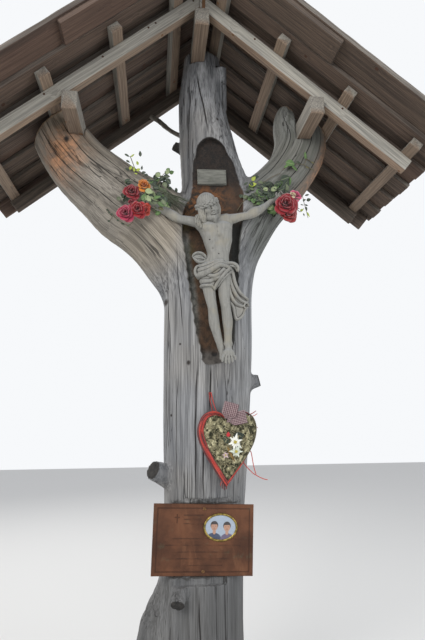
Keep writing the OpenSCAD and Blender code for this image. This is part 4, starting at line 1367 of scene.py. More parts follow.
drape = flap(
    [[78, 1676], [96, 1672], [104, 1640], [111, 1610], [124, 1584], [140, 1566], [153, 1556], [151, 1540],
     [155, 1528], [146, 1518], [139, 1508], [134, 1492], [121, 1478], [105, 1473], [96, 1484], [92, 1506],
     [84, 1530], [78, 1555], [80, 1590], [80, 1630]],
    [[[84, 1672, 6, 8], [93, 1650, 7, 10], [99, 1625, 7, 11], [107, 1602, 7, 11], [119, 1581, 7, 10],
      [135, 1565, 6, 9], [150, 1554, 5, 6]],
     [[82, 1645, 5, 6], [87, 1615, 6, 8], [96, 1589, 7, 9], [108, 1566, 7, 9], [124, 1549, 6, 8],
      [140, 1542, 5, 6]],
     [[79, 1606, 5, 5], [83, 1576, 6.5, 8], [93, 1552, 7, 9], [107, 1536, 6.5, 8], [122, 1529, 6, 7],
      [134, 1528, 4, 5]],
     [[84, 1540, 5, 5], [96, 1520, 6, 6], [99, 1498, 5, 5], [106, 1480, 4.5, 4], [120, 1483, 4.5, 4],
      [132, 1496, 5, 5], [138, 1512, 5, 6]],
     [[152, 1530, 4, 7], [147, 1539, 4, 7], [138, 1537, 4, 7], [135, 1528, 4, 7], [139, 1520, 4, 7],
      [148, 1520, 4, 7]]], Y - 8)
cloth_work = [(1, wrapped(hip_forms, CLOTH_FOLDS), 0), (1, left_flare, 4), (1, left_turn, 3),
              (1, right_flare, 4), (1, drape, 4)]


def carved_colour(place):
    """Weathered carving: pale grey along the grain, with painted shade in the folds, yellowish where it
    is worn, and a painted bluish skylight on what faces up."""
    # Painted shade in the folds, where the surface is hollow.
    fold_shade = (place.attribute("hollow") + place.noise(60, 3, 0.6) * 0.4 - 0.2).between(0.10, 0.85)
    lines = place.noise(1, 5, 0.6, 0.3, (120, 120, 9)).between(0.20, 0.80)
    return lines.mix((122, 121, 116), (146, 145, 139)).over(
        (place.noise(14, 3, 0.55).between(0.50, 0.70) * 0.45, (150, 142, 122)),
        # Painted skylight: what faces up is lighter and bluish.
        (place.attribute("facing_up").between(0.25, 0.95) * 0.5, (152, 158, 165)),
        (fold_shade * 0.9, (54, 49, 43)))


def carved_relief(place):
    """Noise drawn out along the grain, and finer noise for the tool's marks."""
    return place.noise(1, 4, 0.6, 0.2, (260, 260, 22)) * 0.3 + place.noise(110, 2, 0.5) * 0.3


carved_wood = finish_of("carved_wood", carved_colour, 0.8, carved_relief, 0.0012)
build_carved("figure_body_carved", "figure_body",
             [carve((-66, -232, 1300), (128, -116, 1912), 2.0, body_work),
              carve((-74, -262, 1812), (64, -128, 1976), 1.3, head_work)])
build_carved("figure_arms_carved", "figure_arms",
             [carve((-288, -196, 1824), (-14, -134, 1990), 1.9, arm_work),
              carve((70, -196, 1836), (328, -92, 2026), 1.9, arm_work)])
build_carved("figure_loincloth_carved", "figure_loincloth",
             [carve((-76, -240, 1464), (170, -120, 1744), 1.7, cloth_work)])

# The crown: a band of three strands plaited round the head. It is carved in the same pine as the
# figure, left bare, and has weathered with it.

BAND_R, BAND_TURNS, BAND_STRAND = 42.0, 5, 4.3
BAND_TILT = np.radians(9)
BAND_RINGS, BAND_SIDES = 180, 10
angle = np.linspace(0, 2 * np.pi, BAND_RINGS + 1)[:-1]
strands = []
for k in range(3):
    t = BAND_TURNS * angle + 2 * np.pi * k / 3
    out, rise = BAND_R + 1.5 + 3.0 * np.sin(2 * t), 6.4 * np.sin(t) + 12
    flat = out * np.cos(angle) * 0.92
    own = vectors(flat * np.cos(BAND_TILT) - rise * np.sin(BAND_TILT), out * np.sin(angle) + 6,
                  flat * np.sin(BAND_TILT) + rise * np.cos(BAND_TILT))
    path = (HEAD + own @ HEAD_TURN.T) / 1000
    way = unit(np.roll(path, -1, axis=0) - np.roll(path, 1, axis=0))
    side = unit(np.cross(way, HEAD_TURN[:, 2]))
    cos, sin = circle(BAND_SIDES)
    radius = BAND_STRAND / 1000 * (1 + 0.10 * np.sin(5 * t))[:, None, None]
    round_it = cos[:, None] * side[:, None] + sin[:, None] * np.cross(side, way)[:, None]
    ring = path[:, None] + radius * round_it
    strands.append((ring.reshape(-1, 3), ring_faces(BAND_RINGS, BAND_SIDES, looped=True)))
build_carved("figure_crown_carved", "figure_crown", strands, 0.6)

# The tablet over the figure: a small sawn slab of grey pine, set on the niche's floor, with a
# narrow raised edge round a bare face.

TABLET_PLACE, TABLET_HALF, TABLET_T = np.array([0.025, -0.102, 2.065]), (0.058, 0.033), 0.012


def two_sided(rows, cols):
    """Faces of a thin sheet: a front and a back grid of points, and a wall round their edge."""
    front, size = ring_faces(rows, cols, closed=False), rows * cols
    grid = np.arange(size).reshape(rows, cols)
    edge = np.concatenate([grid[0, :-1], grid[:-1, -1], grid[-1, :0:-1], grid[:0:-1, 0]])
    wall = vectors(edge, edge + size, np.roll(edge, -1) + size, np.roll(edge, -1))
    return front + [[n + size for n in face[::-1]] for face in front] + wall.tolist()


def grid_lines(half, insets, pieces, marks=()):
    """Grid lines over a width: evenly spread, with a close pair at each inset from both edges and at
    each mark, where the relief steps."""
    marks = np.array([s * (half - inset) for s in (-1, 1) for inset in insets] + list(marks))
    even = np.linspace(-half, half, pieces)
    lines = np.unique(np.round(np.concatenate([even, marks - 0.0003, marks + 0.0003]), 6))
    return lines[np.abs(lines) <= half]


def plate(xs, zs, thick, rise):
    """A plate whose front stands out by thick + rise(x, z) and whose back is flat."""
    x, z = np.meshgrid(xs, zs, indexing="ij")
    front = vectors(x, -thick - rise(x, z), z).reshape(-1, 3)
    back = vectors(x, 0, z).reshape(-1, 3)
    return np.concatenate([front, back]), two_sided(len(xs), len(zs))


def from_edge(x, z, half):
    """How far inside a rectangle's nearest edge a place is."""
    return np.minimum(half[0] - np.abs(x), half[1] - np.abs(z))


def step_up(value, at, soft=0.0004):
    """0 below the value and 1 above it, with a soft step between."""
    return ease(value, at - soft, at + soft)


def tablet_rise(x, z):
    """A bevel at the edge, and a raised border between 3 and 6 mm from it."""
    e = from_edge(x, z, TABLET_HALF)
    border = step_up(e, 0.003) * (1 - step_up(e, 0.006))
    uneven = 0.0005 * lumps(vectors(x, 0, z), (0.03, 1, 0.006), 31)
    return 0.0012 * border - 0.0015 * (1 - ease(e, 0, 0.0016)) + uneven


TABLET_INSETS = (0.0008, 0.0016, 0.003, 0.006)
points, faces = plate(grid_lines(TABLET_HALF[0], TABLET_INSETS, 30),
                      grid_lines(TABLET_HALF[1], TABLET_INSETS, 20),
                      TABLET_T, tablet_rise)
tilt = np.array(Matrix.Rotation(np.radians(-1), 3, "Y") @ Matrix.Rotation(np.radians(-6), 3, "X"))


def tablet_colour(place):
    """Grain lines in two greys, with damp patches."""
    lines = place.noise(1, 5, 0.6, 0.3, (14, 150, 150)).between(0.25, 0.8)
    darkened = place.noise(40, 4, 0.6).between(0.5, 0.75) * 0.5
    return lines.mix((84, 85, 79), (130, 130, 122)).over((darkened, (68, 70, 60)))


tablet_wood = finish_of("tablet_wood", tablet_colour, 0.85, (1, 4, 0.6, 0.2, (20, 240, 240)), 0.0009)
build("tablet_slab", [(points @ tilt.T + TABLET_PLACE, faces, {})], tablet_wood, "tablet")

# The plaque: cast bronze, browned outdoors, with a raised border, a plain cross and ruled lines. It
# is screwed to a flat seat on the trunk, and carries an oval picture glazed on ceramic in a brass rim.

PLAQUE_HALF, PLAQUE_T = (0.178, 0.120), 0.006
PLAQUE_PLACE, PLAQUE_LEAN = np.array([-0.016, PLAQUE_SEAT_Y, 0.700]), np.radians(2)
MEDAL = (0.060, 0.042)
CROSS = (-0.094, 0.070)
RULES = [(-0.036, 0.082, 0.036), (-0.040, 0.068, 0.032), (-0.032, 0.054, 0.040), (0.0, 0.004, 0.118),
         (0.0, -0.018, 0.132), (-0.004, -0.040, 0.104), (0.0, -0.062, 0.126), (0.0, -0.084, 0.070)]


def bar(x, z, middle, half):
    """1 inside a rectangle and 0 outside it, as the product of a soft step for each direction."""
    return step_up(half[0] - np.abs(x - middle[0]), 0) * step_up(half[1] - np.abs(z - middle[1]), 0)


def plaque_rise(x, z):
    """A rounded edge, a raised border 13 to 17 mm in, and the raised bars of the cross and lines."""
    e = from_edge(x, z, PLAQUE_HALF)
    relief = 0.0010 * step_up(e, 0.013) * (1 - step_up(e, 0.0165)) - 0.0016 * (1 - ease(e, 0, 0.002))
    upright = bar(x, z, CROSS, (0.0016, 0.015))
    relief = relief + 0.0012 * np.maximum(upright, bar(x, z, (CROSS[0], CROSS[1] + 0.004), (0.009, 0.0016)))
    for middle, height, half in RULES:
        relief = relief + 0.0006 * bar(x, z, (middle, height), (half, 0.0022))
    return relief + 0.0003 * lumps(vectors(x, 0, z), (0.02, 1, 0.02), 32)


def on_plaque(points):
    """Places on the plaque, leant with it and moved to where it hangs."""
    return points @ np.array(Matrix.Rotation(PLAQUE_LEAN, 3, "Y")).T + PLAQUE_PLACE


PLAQUE_INSETS = (0.001, 0.002, 0.013, 0.0165)
xs = grid_lines(PLAQUE_HALF[0], PLAQUE_INSETS, 54, [CROSS[0] + d for d in (-0.009, -0.0016, 0.0016, 0.009)]
                + [m + s * h for m, _, h in RULES for s in (-1, 1)])
zs = grid_lines(PLAQUE_HALF[1], PLAQUE_INSETS, 36, [CROSS[1] + d for d in (-0.015, 0.015, 0.0024, 0.0056)]
                + [h + d for _, h, _ in RULES for d in (-0.0022, 0.0022)])
points, faces = plate(xs, zs, PLAQUE_T, plaque_rise)
raised = np.clip(-points[:, 1] - PLAQUE_T - 0.00035, 0, 0.0004) / 0.0004


def bronze_colour(place):
    """Two browns mixed by noise, then lighter runs, green spots, and a darker tone on raised parts."""
    return place.noise(7, 4, 0.6).between(0.35, 0.68).mix((72, 46, 33), (112, 73, 51)).over(
        (place.noise(1, 4, 0.6, 0.6, (28, 28, 7)).between(0.52, 0.75) * 0.5, (130, 90, 64)),
        (place.noise(26, 4, 0.65).between(0.60, 0.75) * 0.3, (88, 96, 76)),
        (place.attribute("raised") * 0.6, (58, 38, 30)))


def bronze_rough(place):
    """A middle roughness, raised by noise."""
    return place.noise(30, 4, 0.6).between(0.3, 0.7) * 0.22 + 0.42


plaque_metal = finish_of("plaque_metal", bronze_colour, bronze_rough, (180, 3, 0.6), 0.0004, Metallic=0.55)
build("plaque_plate", [(on_plaque(points), faces, {"raised": raised})], plaque_metal, "plaque", angle=30)


def turned_dome(middle, half, profile, sides):
    """A turned form on the plaque: its profile gives a share of the half sizes and a height for each
    ring, and the last ring closes to a point's small face."""
    cos, sin = circle(sides)
    share, height = np.array(profile).T
    rings = vectors(middle[0] + half[0] * share[:, None] * cos, -PLAQUE_T - height[:, None],
                    middle[1] + half[1] * share[:, None] * sin)
    return rings.reshape(-1, 3), capped(len(profile), sides)


def screw_colour(place):
    """Two dull browns, mixed by fine noise."""
    return place.noise(300, 3, 0.6).between(0.35, 0.7).mix((70, 52, 36), (150, 112, 74))


screw_metal = finish_of("screw_metal", screw_colour, 0.45, (500, 2), 0.0002, Metallic=0.8)
SCREW_Z, SCREW_R = 0.104, 0.006
SCREW_PROFILE = [(1, -0.0005), (1, 0.0008), (0.96, 0.0014), (0.8, 0.0022), (0.55, 0.0027), (0.3, 0.0029),
                 (0.12, 0.003)]
screws = []
for z in (-SCREW_Z, SCREW_Z):
    points, faces = turned_dome((0.002, z), (SCREW_R, SCREW_R), SCREW_PROFILE, 32)
    in_slot = ease(0.0011 - np.abs(points[:, 2] - z), 0, 0.0004)
    points[:, 1] += 0.0012 * (in_slot * ease(-PLAQUE_T - points[:, 1], 0.001, 0.0016))
    screws.append((on_plaque(points), faces, {}))
build("plaque_screw_heads", screws, screw_metal, "plaque_screws", angle=50)

# The rim: a brass moulding carried round an oval, from its outer foot over the crown to the inside.
# It holds the picture on the plaque.
RIM_OUTER, RIM_INNER = np.array([0.061, 0.048]), np.array([0.0538, 0.0408])
share = np.array([0, 0, 0.12, 0.3, 0.5, 0.72, 0.9, 1, 1])
rise = np.array([-0.0004, 0.0022, 0.0038, 0.0047, 0.0050, 0.0044, 0.0034, 0.0030, -0.0004])
cos, sin = circle(96)
half = RIM_OUTER + (RIM_INNER - RIM_OUTER) * share[:, None]
beads = 0.0003 * np.sin(24 * np.arange(96) * 2 * np.pi / 96)[:, None] * (share > 0.2) * (share < 0.8)
points = vectors(MEDAL[0] + half[None, :, 0] * cos[:, None], -PLAQUE_T - rise[None] - beads,
                 MEDAL[1] + half[None, :, 1] * sin[:, None]).reshape(-1, 3)
faces = ring_faces(96, len(share), looped=True)


def brass_colour(place):
    """Two yellows mixed by noise, with green patches."""
    dull = place.noise(90, 4, 0.6).between(0.35, 0.7)
    green = place.noise(30, 3).between(0.55, 0.75) * 0.5
    return dull.mix((104, 88, 44), (176, 154, 86)).over((green, (84, 96, 66)))


medallion_brass = finish_of("medallion_brass", brass_colour, 0.42, (260, 2), 0.0002, Metallic=0.8)
build("medallion_rim", [(on_plaque(points), faces, {})], medallion_brass, "medallion_ring", angle=50)

# The picture: a low dome of glazed ceramic with two plain busts in slight relief, painted in a few
# flat tones under the glaze.
PICTURE_SIDES = 128
rings = np.linspace(1, 0.02, 44)
cos, sin = circle(PICTURE_SIDES)
px, pz = (0.0536 * rings[:, None] * cos).ravel(), (0.0406 * rings[:, None] * sin).ravel()


def egg(middle, half):
    """1 inside an oval and 0 outside, eased over about a millimetre."""
    reach = np.hypot((px - middle[0]) / half[0], (pz - middle[1]) / half[1])
    return 1 - ease(reach, 1 - 0.0008 / min(half), 1 + 0.0008 / min(half))


skin, hair, features = np.zeros(len(px)), np.zeros(len(px)), np.zeros(len(px))
for middle, level in ((-0.0225, 0.0030), (0.0225, 0.0010)):
    face = egg((middle, level), (0.0114, 0.0144)) * (1 - ease(pz, level + 0.0062, level + 0.0086))
    hair = np.maximum(hair, egg((middle, level + 0.0046), (0.0136, 0.0146)))
    skin = np.maximum(skin, np.maximum(face, egg((middle, level - 0.0175), (0.0056, 0.0085))))
    for off, height, half in ((-0.0044, 0.0014, (0.0016, 0.0009)), (0.0044, 0.0014, (0.0016, 0.0009)),
                              (0, -0.0046, (0.0016, 0.0006)), (0, -0.0082, (0.0032, 0.0007))):
        features = np.maximum(features, egg((middle + off, level + height), half))
blue_dress = egg((-0.0235, -0.0400), (0.0270, 0.0225))
plum_dress = egg((0.0240, -0.0415), (0.0250, 0.0220))
tones = np.zeros((len(px), 3)) + np.array(srgb(160, 172, 186)[:3])
for mask, tone in ((hair, (52, 42, 36)), (blue_dress, (52, 60, 84)), (plum_dress, (96, 84, 108)),
                   (skin, (178, 136, 112)),
                   (features, (104, 68, 58))):
    tones = tones * (1 - mask[:, None]) + np.array(srgb(*tone)[:3]) * mask[:, None]
busts = np.maximum.reduce([hair, blue_dress, plum_dress, skin])
height = 0.0022 + 0.0014 * (1 - np.repeat(rings, PICTURE_SIDES) ** 2) + 0.0004 * busts
points = vectors(MEDAL[0] + px, -PLAQUE_T - height, MEDAL[1] + pz)
points = np.concatenate([points[:PICTURE_SIDES] + [0, 0.0024, 0], points])
tones = np.concatenate([tones[:PICTURE_SIDES], tones])


def glaze_colour(place):
    """The painted colour, clouded a little by noise."""
    cloud = place.noise(60, 3, 0.5).between(0.3, 0.75) * 0.12
    return place.attribute("paint", "Vector").over((cloud, (140, 156, 176)))


medallion_ceramic = finish_of("medallion_ceramic", glaze_colour, 0.16, Coat_Weight=0.5, Coat_Roughness=0.06)
build("medallion_portrait", [(on_plaque(points), capped(len(rings) + 1, PICTURE_SIDES), {"paint": tones})],
      medallion_ceramic, "medallion_picture", angle=None)

# The wreath: a heart bent from wire, wound with a thick bundle of red raffia and filled with dry
# moss, with a checked ribbon and felt flowers. It hangs from a nail by a raffia loop.

HEART_Y, HEART_MIDDLE = -0.176, np.array([0.066, 1.030])
HEART_LEFT = [(4, 84), (-22, 110), (-55, 117), (-90, 98), (-107, 52), (-100, 6), (-74, -46), (-38, -104),
              (-6, -149)]
HEART_RIGHT = [(-6, -149), (32, -100), (72, -42), (99, 10), (107, 57), (93, 97), (60, 115), (28, 107),
               (4, 84)]


def heart_outline(count):
    """The heart's outline from its notch round the left lobe to the point and up the right side,
    with the direction inwards at each place."""
    line = np.vstack([smooth_line(HEART_LEFT, 8)[:-1], smooth_line(HEART_RIGHT, 8)]) / 1000
    run = np.concatenate([[0], np.cumsum(np.linalg.norm(np.diff(line, axis=0), axis=1))])
    at = np.linspace(0, run[-1], count)
    line = np.stack([np.interp(at, run, line[:, k]) for k in (0, 1)], axis=1)
    way = unit(np.gradient(line, axis=0))
    return line, vectors(-way[:, 1], way[:, 0])


def repeated(points, faces, values=None):
    """Many like shapes as one: points is shapes x points x 3, and the faces are those of the first."""
    n, k = points.shape[:2]
    every = [[v + i * k for v in face] for i in range(n) for face in faces]
    spread = {}
    for name, value in (values or {}).items():
        value = np.asarray(value, float)
        wide = value[:, None] if value.ndim < 3 and (value.ndim == 1 or value.shape[1] != k) else value
        shape = (n, k) if wide.ndim == 2 else (n, k, wide.shape[-1])
        spread[name] = np.broadcast_to(wide, shape).reshape((-1,) + shape[2:])
    return points.reshape(-1, 3), every, spread


rng = np.random.default_rng(5)
HEART_STEPS = 112
line, inward = heart_outline(HEART_STEPS)
s = np.linspace(0, 1, HEART_STEPS)
bundle = np.interp(s, [0, .05, .15, .28, .42, .49, .55, .62, .80, .95, 1],
                   [12, 19, 25, 27, 23, 19, 13, 8, 6, 8, 10]) / 1000
# Three layers of strands, each a little deeper in the bundle than the one before.
ABREAST, STRANDS = 13, 39
layer = np.repeat([0, 1, 2], ABREAST)[:, None]
lay = (np.tile(np.arange(ABREAST), 3) + rng.uniform(0.1, 0.9, STRANDS))[:, None] / ABREAST
waves, start = rng.uniform(0.5, 1.6, STRANDS)[:, None], rng.uniform(0, 1, STRANDS)[:, None]
sway = 0.09 * np.sin(2 * np.pi * (waves * s + start))
share = np.clip(lay + sway, 0.03, 0.97)
bulge = np.sqrt(1 - (2 * share - 1) ** 2) * (0.0090 - 0.0026 * layer) * (0.4 + bundle / 0.026)
depth = -0.001 - bulge + 0.0008 * np.sin(30 * s + 40 * lay)
flat = line[None] + inward[None] * (0.002 + share * (bundle - 0.004))[..., None]
paths = vectors(HEART_MIDDLE[0] + flat[..., 0], HEART_Y + depth, HEART_MIDDLE[1] + flat[..., 1])
radius = (rng.uniform(0.0013, 0.0026, STRANDS)[:, None] * (1 + 0.12 * np.sin(60 * s + 9 * lay))
          * (0.62 + 0.38 * bundle / 0.024))
points, faces = tubes(paths, radius, 6)
# Deeper layers take a lower tone: painted shade inside the bundle.
tone = np.clip(rng.uniform(0.10, 1.0, STRANDS) - 0.32 * layer[:, 0], 0, 1)
# Every third strand is a dark one: painted shade between the strands.
tone = tone * np.where(np.arange(STRANDS) % 3 == 1, 0.2, 1.0)
# The strands round the right lobe have lost their red, and take a tone below zero.
lost = (ease(s, 0.63, 0.68) * (1 - ease(s, 0.86, 0.90))).repeat(6)
tone = tone[:, None] * (1 - lost) - lost
raffia = [repeated(points, faces, {"tone": tone, "along": np.repeat(s[None], STRANDS, 0).repeat(6, 1)})]
# The core, in the lowest tone, is painted shade deep in the bundle, seen between the strands.
core = line + inward * (bundle / 2)[:, None]
core = vectors(HEART_MIDDLE[0] + core[:, 0], HEART_Y, HEART_MIDDLE[1] + core[:, 1])
points, faces = tubes(core[None], bundle * 0.34, 8)
raffia.append(repeated(points, faces, {"tone": np.array([0.0]), "along": s.repeat(8)[None]}))
# Short bits of raffia, each from a place to a place in mm, with its thickness and its tone: the
# hanger's two legs from the nail to the left lobe, the cut ends of the tie below the point, and the
# ends that stand up at the right lobe.
BITS = [
    ((4, -165, 1212), (16, -178, 1139), 2.3, 0.45), ((10, -165, 1212), (30, -178, 1137), 2.0, 0.75),
    ((51, -180, 902), (46, -182, 879), 2.5, 0.20), ((55, -183, 902), (53, -186, 874), 2.8, 0.10),
    ((58, -182, 901), (60, -185, 877), 2.5, 0.25), ((48, -178, 904), (40, -180, 888), 1.3, 0.80),
    ((140, -178, 1130), (172, -176, 1145), 1.8, 0.5), ((148, -178, 1124), (177, -175, 1135), 1.4, 0.8),
    ((160, -178, 1100), (177, -176, 1084), 1.2, 0.6),
]
for start, end, thick, bit_tone in BITS:
    t = np.linspace(0, 1, 9)[:, None]
    bend = np.array([2.0, 0, -1.5]) * np.sin(np.pi * t) * (1 if end[0] > 55 else -1)
    bit = (np.array(start) * (1 - t) + np.array(end) * t + bend) / 1000
    points, faces = tubes(bit[None], thick / 1000 * (1 - 0.25 * t[:, 0]), 6)
    raffia.append(repeated(points, faces, {"tone": np.array([bit_tone]), "along": t[:, 0].repeat(6)[None]}))


def raffia_colour(place):
    """Dark red to bright red by tone, with a painted pale highlight at the top of the range, grey-green
    below zero, and streaked along the strand by a sine. The dark end of the range is partly the
    raffia's own tone and partly painted shade deep in the bundle."""
    tone = place.attribute("tone")
    fleck = place.noise(240, 3, 0.6).between(0.3, 0.75)
    streak = (place.attribute("along") * 60 + tone * 30).math("SINE") * 0.5 + 0.5
    return tone.between(0.05, 0.95).mix((50, 6, 10), (204, 60, 42)).over(
        (tone.between(0.80, 1.0) * 0.7, (214, 118, 88)), (fleck * 0.35 + streak * 0.20, (112, 18, 22)),
        ((-tone).between(0.1, 0.8), fleck.mix((70, 64, 44), (116, 108, 78))))


red_raffia = finish_of("red_raffia", raffia_colour, 0.55, (500, 3, 0.6), 0.0004, Sheen_Weight=0.2)
build("heart_raffia_strands", raffia, red_raffia, "heart_raffia", angle=None)

# The two long ends of raffia, left free where the strands are tied at the right side: thin and
# stiff, they stand away from the trunk and droop a little. Their routes are in millimetres.
END_ACROSS = 3.0
LOOSE_ENDS = {
    "raffia_end_long": [
        (121, -177, 968), (126, -178, 961), (131, -178, 954), (136, -178, 948), (142, -178, 942),
        (148, -178, 936), (154, -177, 930), (161, -176, 925), (168, -175, 921), (175, -174, 917),
        (182, -173, 913), (189, -172, 910), (196, -171, 907), (203, -170, 905), (210, -169, 904)],
    "raffia_end_short": [
        (145, -177, 1008), (150, -178, 1002), (152, -178, 996), (153, -178, 990), (154, -178, 984),
        (155, -178, 978), (156, -177, 972), (157, -177, 966), (158, -176, 960), (159, -176, 954),
        (161, -175, 948), (162, -175, 942), (164, -174, 936), (166, -174, 930), (168, -173, 924)],
}
for name, route in LOOSE_ENDS.items():
    path = np.array(route) / 1000
    length = np.linalg.norm(np.diff(path, axis=0), axis=1).sum()
    points, faces = tubes(path[None], END_ACROSS / 2000, 8)
    at = np.linspace(0, 1, len(path)).repeat(8)
    end = build(name + "_strand", [(points[0], faces, {"tone": 0.62 + 0.3 * at, "along": at})],
                red_raffia, name, angle=None)

# The moss: a crowned pad of dried moss pressed into the heart, rough with tufts, and loose dry
# stalks that stick out of it.

MOSS_SIDES, STALKS = 120, 460
line, _ = heart_outline(MOSS_SIDES + 1)
line = line[:-1]
middle = np.array([0.004, 0.002])
inner = middle + np.array([0.0085, 0.0025]) + (line - middle) * 0.885
rings = np.concatenate([np.linspace(0.02, 0.9, 34), [0.95, 0.985, 1.0]])
flat = middle + (inner - middle)[None] * rings[:, None, None]
dome = 0.0165 * np.sqrt(1 - 0.985 * rings ** 3)[:, None]
where = vectors(flat[..., 0], 0, flat[..., 1])
tufts = (0.0046 * lumps(where, 0.012, 51) + 0.0030 * lumps(where, 0.006, 52)
         + 0.0014 * lumps(where, 0.003, 53))
front = HEART_Y - 0.004 - dome - tufts * (1 - 0.6 * rings ** 6)[:, None]
back = HEART_Y + 0.0165 * np.sqrt(1 - 0.9 * rings ** 8)[::-1, None] + 0 * front
x, z = flat[..., 0] + HEART_MIDDLE[0], flat[..., 1] + HEART_MIDDLE[1]
pad = np.concatenate([vectors(x, front, z), vectors(x[::-1], back, z[::-1])])
points = pad.reshape(-1, 3)
# The pad's tone follows its tufts: painted light where they stand out, painted shade in the dips. Its back
# takes a low tone.
tuft_light_and_shade = np.concatenate([np.clip(0.5 + tufts.ravel() * 110, 0, 1), np.full(front.size, 0.2)])
moss = [marked((points, capped(2 * len(rings), MOSS_SIDES), {"tone": tuft_light_and_shade}), stalk=0)]
pick_ring, pick_side = rng.integers(3, 35, STALKS), rng.integers(0, MOSS_SIDES, STALKS)
root = np.stack([grid[pick_ring, pick_side] for grid in (x, front, z)], axis=1)
heading = rng.uniform(0, 2 * np.pi, STALKS)
length = rng.uniform(0.008, 0.022, STALKS)[:, None]
t = np.linspace(-0.5, 0.5, 5)
bend = rng.uniform(-0.5, 0.5, STALKS)[:, None] * t ** 2
across = vectors(np.cos(heading), np.sin(heading))
paths = vectors(root[:, 0:1] + length * (across[:, 0:1] * t - across[:, 1:2] * bend),
                root[:, 1:2] - 0.0012 - length * rng.uniform(-0.05, 0.22, STALKS)[:, None] * (t + 0.5),
                root[:, 2:3] + length * (across[:, 1:2] * t + across[:, 0:1] * bend))
points, faces = tubes(paths, rng.uniform(0.0004, 0.0010, STALKS)[:, None] * (1 - 0.5 * np.abs(t) * 2), 4)
moss.append(repeated(points, faces, {"tone": rng.uniform(0.2, 1, STALKS), "stalk": np.ones(STALKS)}))


def moss_colour(place):
    """Dark to light by tone, which on the pad is painted light and shade from its tufts, then specks,
    pale tufts, dark gaps by noise as painted shade between the tufts, and straw on stalks.
    """
    tone = place.attribute("tone")
    speck = place.noise(190, 4, 0.7).between(0.3, 0.7)
    return tone.between(0.15, 0.85).mix((36, 34, 26), (150, 143, 112)).over(
        (speck * 0.4, (96, 98, 62)),
        (place.noise(70, 4, 0.65).between(0.50, 0.60) * tone.between(0.2, 0.6), (206, 200, 162)),
        # Painted shade in the gaps between the tufts.
        (place.noise(95, 3, 0.6).between(0.56, 0.66) * 0.85, (36, 38, 26)),
        (place.attribute("stalk"), tone.mix((92, 78, 50), (214, 206, 168))))


dried_moss = finish_of("dried_moss", moss_colour, 0.95, (380, 4, 0.7), 0.0022)
build("heart_moss", moss, dried_moss, "heart_filling", angle=None)

# The felt flowers: stars cut from white felt with woolly yellow centres, with a few leaves and bits
# of stalk between them, pinned on the moss.

PALETTE = {"pale": (152, 166, 122), "dark": (42, 56, 44), "bright": (176, 190, 74), "dull": (98, 108, 82),
           "mid": (84, 116, 62), "olive": (96, 88, 50)}


def blades(places, lengths, widths, ways, facing, curl, paint, rows=7, cols=5, point=0.8, thick=0.0005):
    """Leaves or petals: the width across is sin(pi v^point), and the blade bends by curl v (v - 1) of
    its length and is folded a little along its middle. All of them are worked out at once."""
    v, u = np.linspace(0, 1, rows)[:, None], np.linspace(-1, 1, cols)[None]
    outline = np.maximum(np.sin(np.pi * v ** point) ** 0.8, 0.05)
    ways = unit(ways)
    side = unit(np.cross(facing, ways))
    normal = np.cross(ways, side)
    lengths, widths, curl = (np.asarray(a, float).reshape(-1, 1, 1) for a in (lengths, widths, curl))
    along, across = (v - 0.5)[None] * lengths + 0 * u, u[None] * outline[None] * widths / 2
    lift = curl * lengths * (v * (v - 1) * 4 + 1)[None] + 0.16 * widths * np.abs(u)[None] * outline[None]
    points = (places[:, None, None] + along[..., None] * ways[:, None, None]
              + across[..., None] * side[:, None, None] + lift[..., None] * normal[:, None, None])
    both = np.stack([points + thick / 2 * normal[:, None, None], points - thick / 2 * normal[:, None, None]],
                    axis=1)
    own = rng.uniform(0, 9, len(places))[:, None, None, None]
    blade = vectors(u, v, own)
    blade = np.broadcast_to(blade, both.shape).reshape(len(places), -1, 3)
    return repeated(both.reshape(len(places), -1, 3), two_sided(rows, cols),
                    {"paint": np.asarray(paint)[:, None] + 0 * blade, "blade": blade})


def painted(names):
    """One row of colour for each name in the palette, or for each triple."""
    return np.array([srgb(*(PALETTE[n] if isinstance(n, str) else n))[:3] for n in names])


def felt_flower_at(middle, reach, count, tone, turn):
    """A star of narrow petals in two rings, and the small round heads in its centre."""
    inner = np.arange(2 * count) >= count
    angle = turn + np.arange(2 * count) * 2 * np.pi / count + np.where(inner, np.pi / count, 0)
    size = np.where(inner, 0.66, 1.0) * reach * rng.uniform(0.85, 1.1, 2 * count)
    ways = vectors(np.cos(angle), rng.uniform(-0.25, 0.1, 2 * count), np.sin(angle))
    places = np.array(middle) + ways * (size * 0.55)[:, None]
    places[:, 1] -= np.where(inner, 0.002, 0)
    star = blades(places, size, size * 0.36, ways, np.array([0.0, -1.0, 0]), np.full(2 * count, 0.06),
                  painted([tone] * 2 * count), point=0.6)
    cos, sin = circle(10)
    share, rise = np.array([(1, 0.2), (1, -0.5), (0.7, -0.9), (0.25, -1.05)]).T
    knobs = np.array([(0, 0), (1, 0.2), (-0.4, 0.9), (-0.7, -0.6), (0.4, -0.9)]) * reach * 0.13
    ball = vectors(share[:, None] * cos, rise[:, None], share[:, None] * sin)
    heads = np.array(middle) + vectors(knobs[:, 0], -0.003, knobs[:, 1])
    return [star, repeated(heads[:, None] + ball.reshape(-1, 3) * reach * 0.11, capped(4, 10),
                           {"paint": painted([(176, 160, 60)] * 5), "blade": np.zeros((5, 3))})]


def felt_colour(place):
    """The painted colour, greyed a little by fine noise."""
    fluff = place.noise(420, 3, 0.7).between(0.4, 0.8) * 0.22
    return place.attribute("paint", "Vector").over((fluff, (150, 150, 138)))


felt_flower = finish_of("felt_flower", felt_colour, 0.95, (900, 3, 0.7), 0.0005, Sheen_Weight=0.3)
flowers = felt_flower_at((0.090, -0.2045, 1.038), 0.028, 6, (240, 240, 230), 0.3)
flowers += felt_flower_at((0.093, -0.204, 1.006), 0.025, 6, (214, 220, 204), 1.0)
flowers += felt_flower_at((0.056, -0.202, 0.994), 0.013, 5, (214, 190, 190), 0.5)
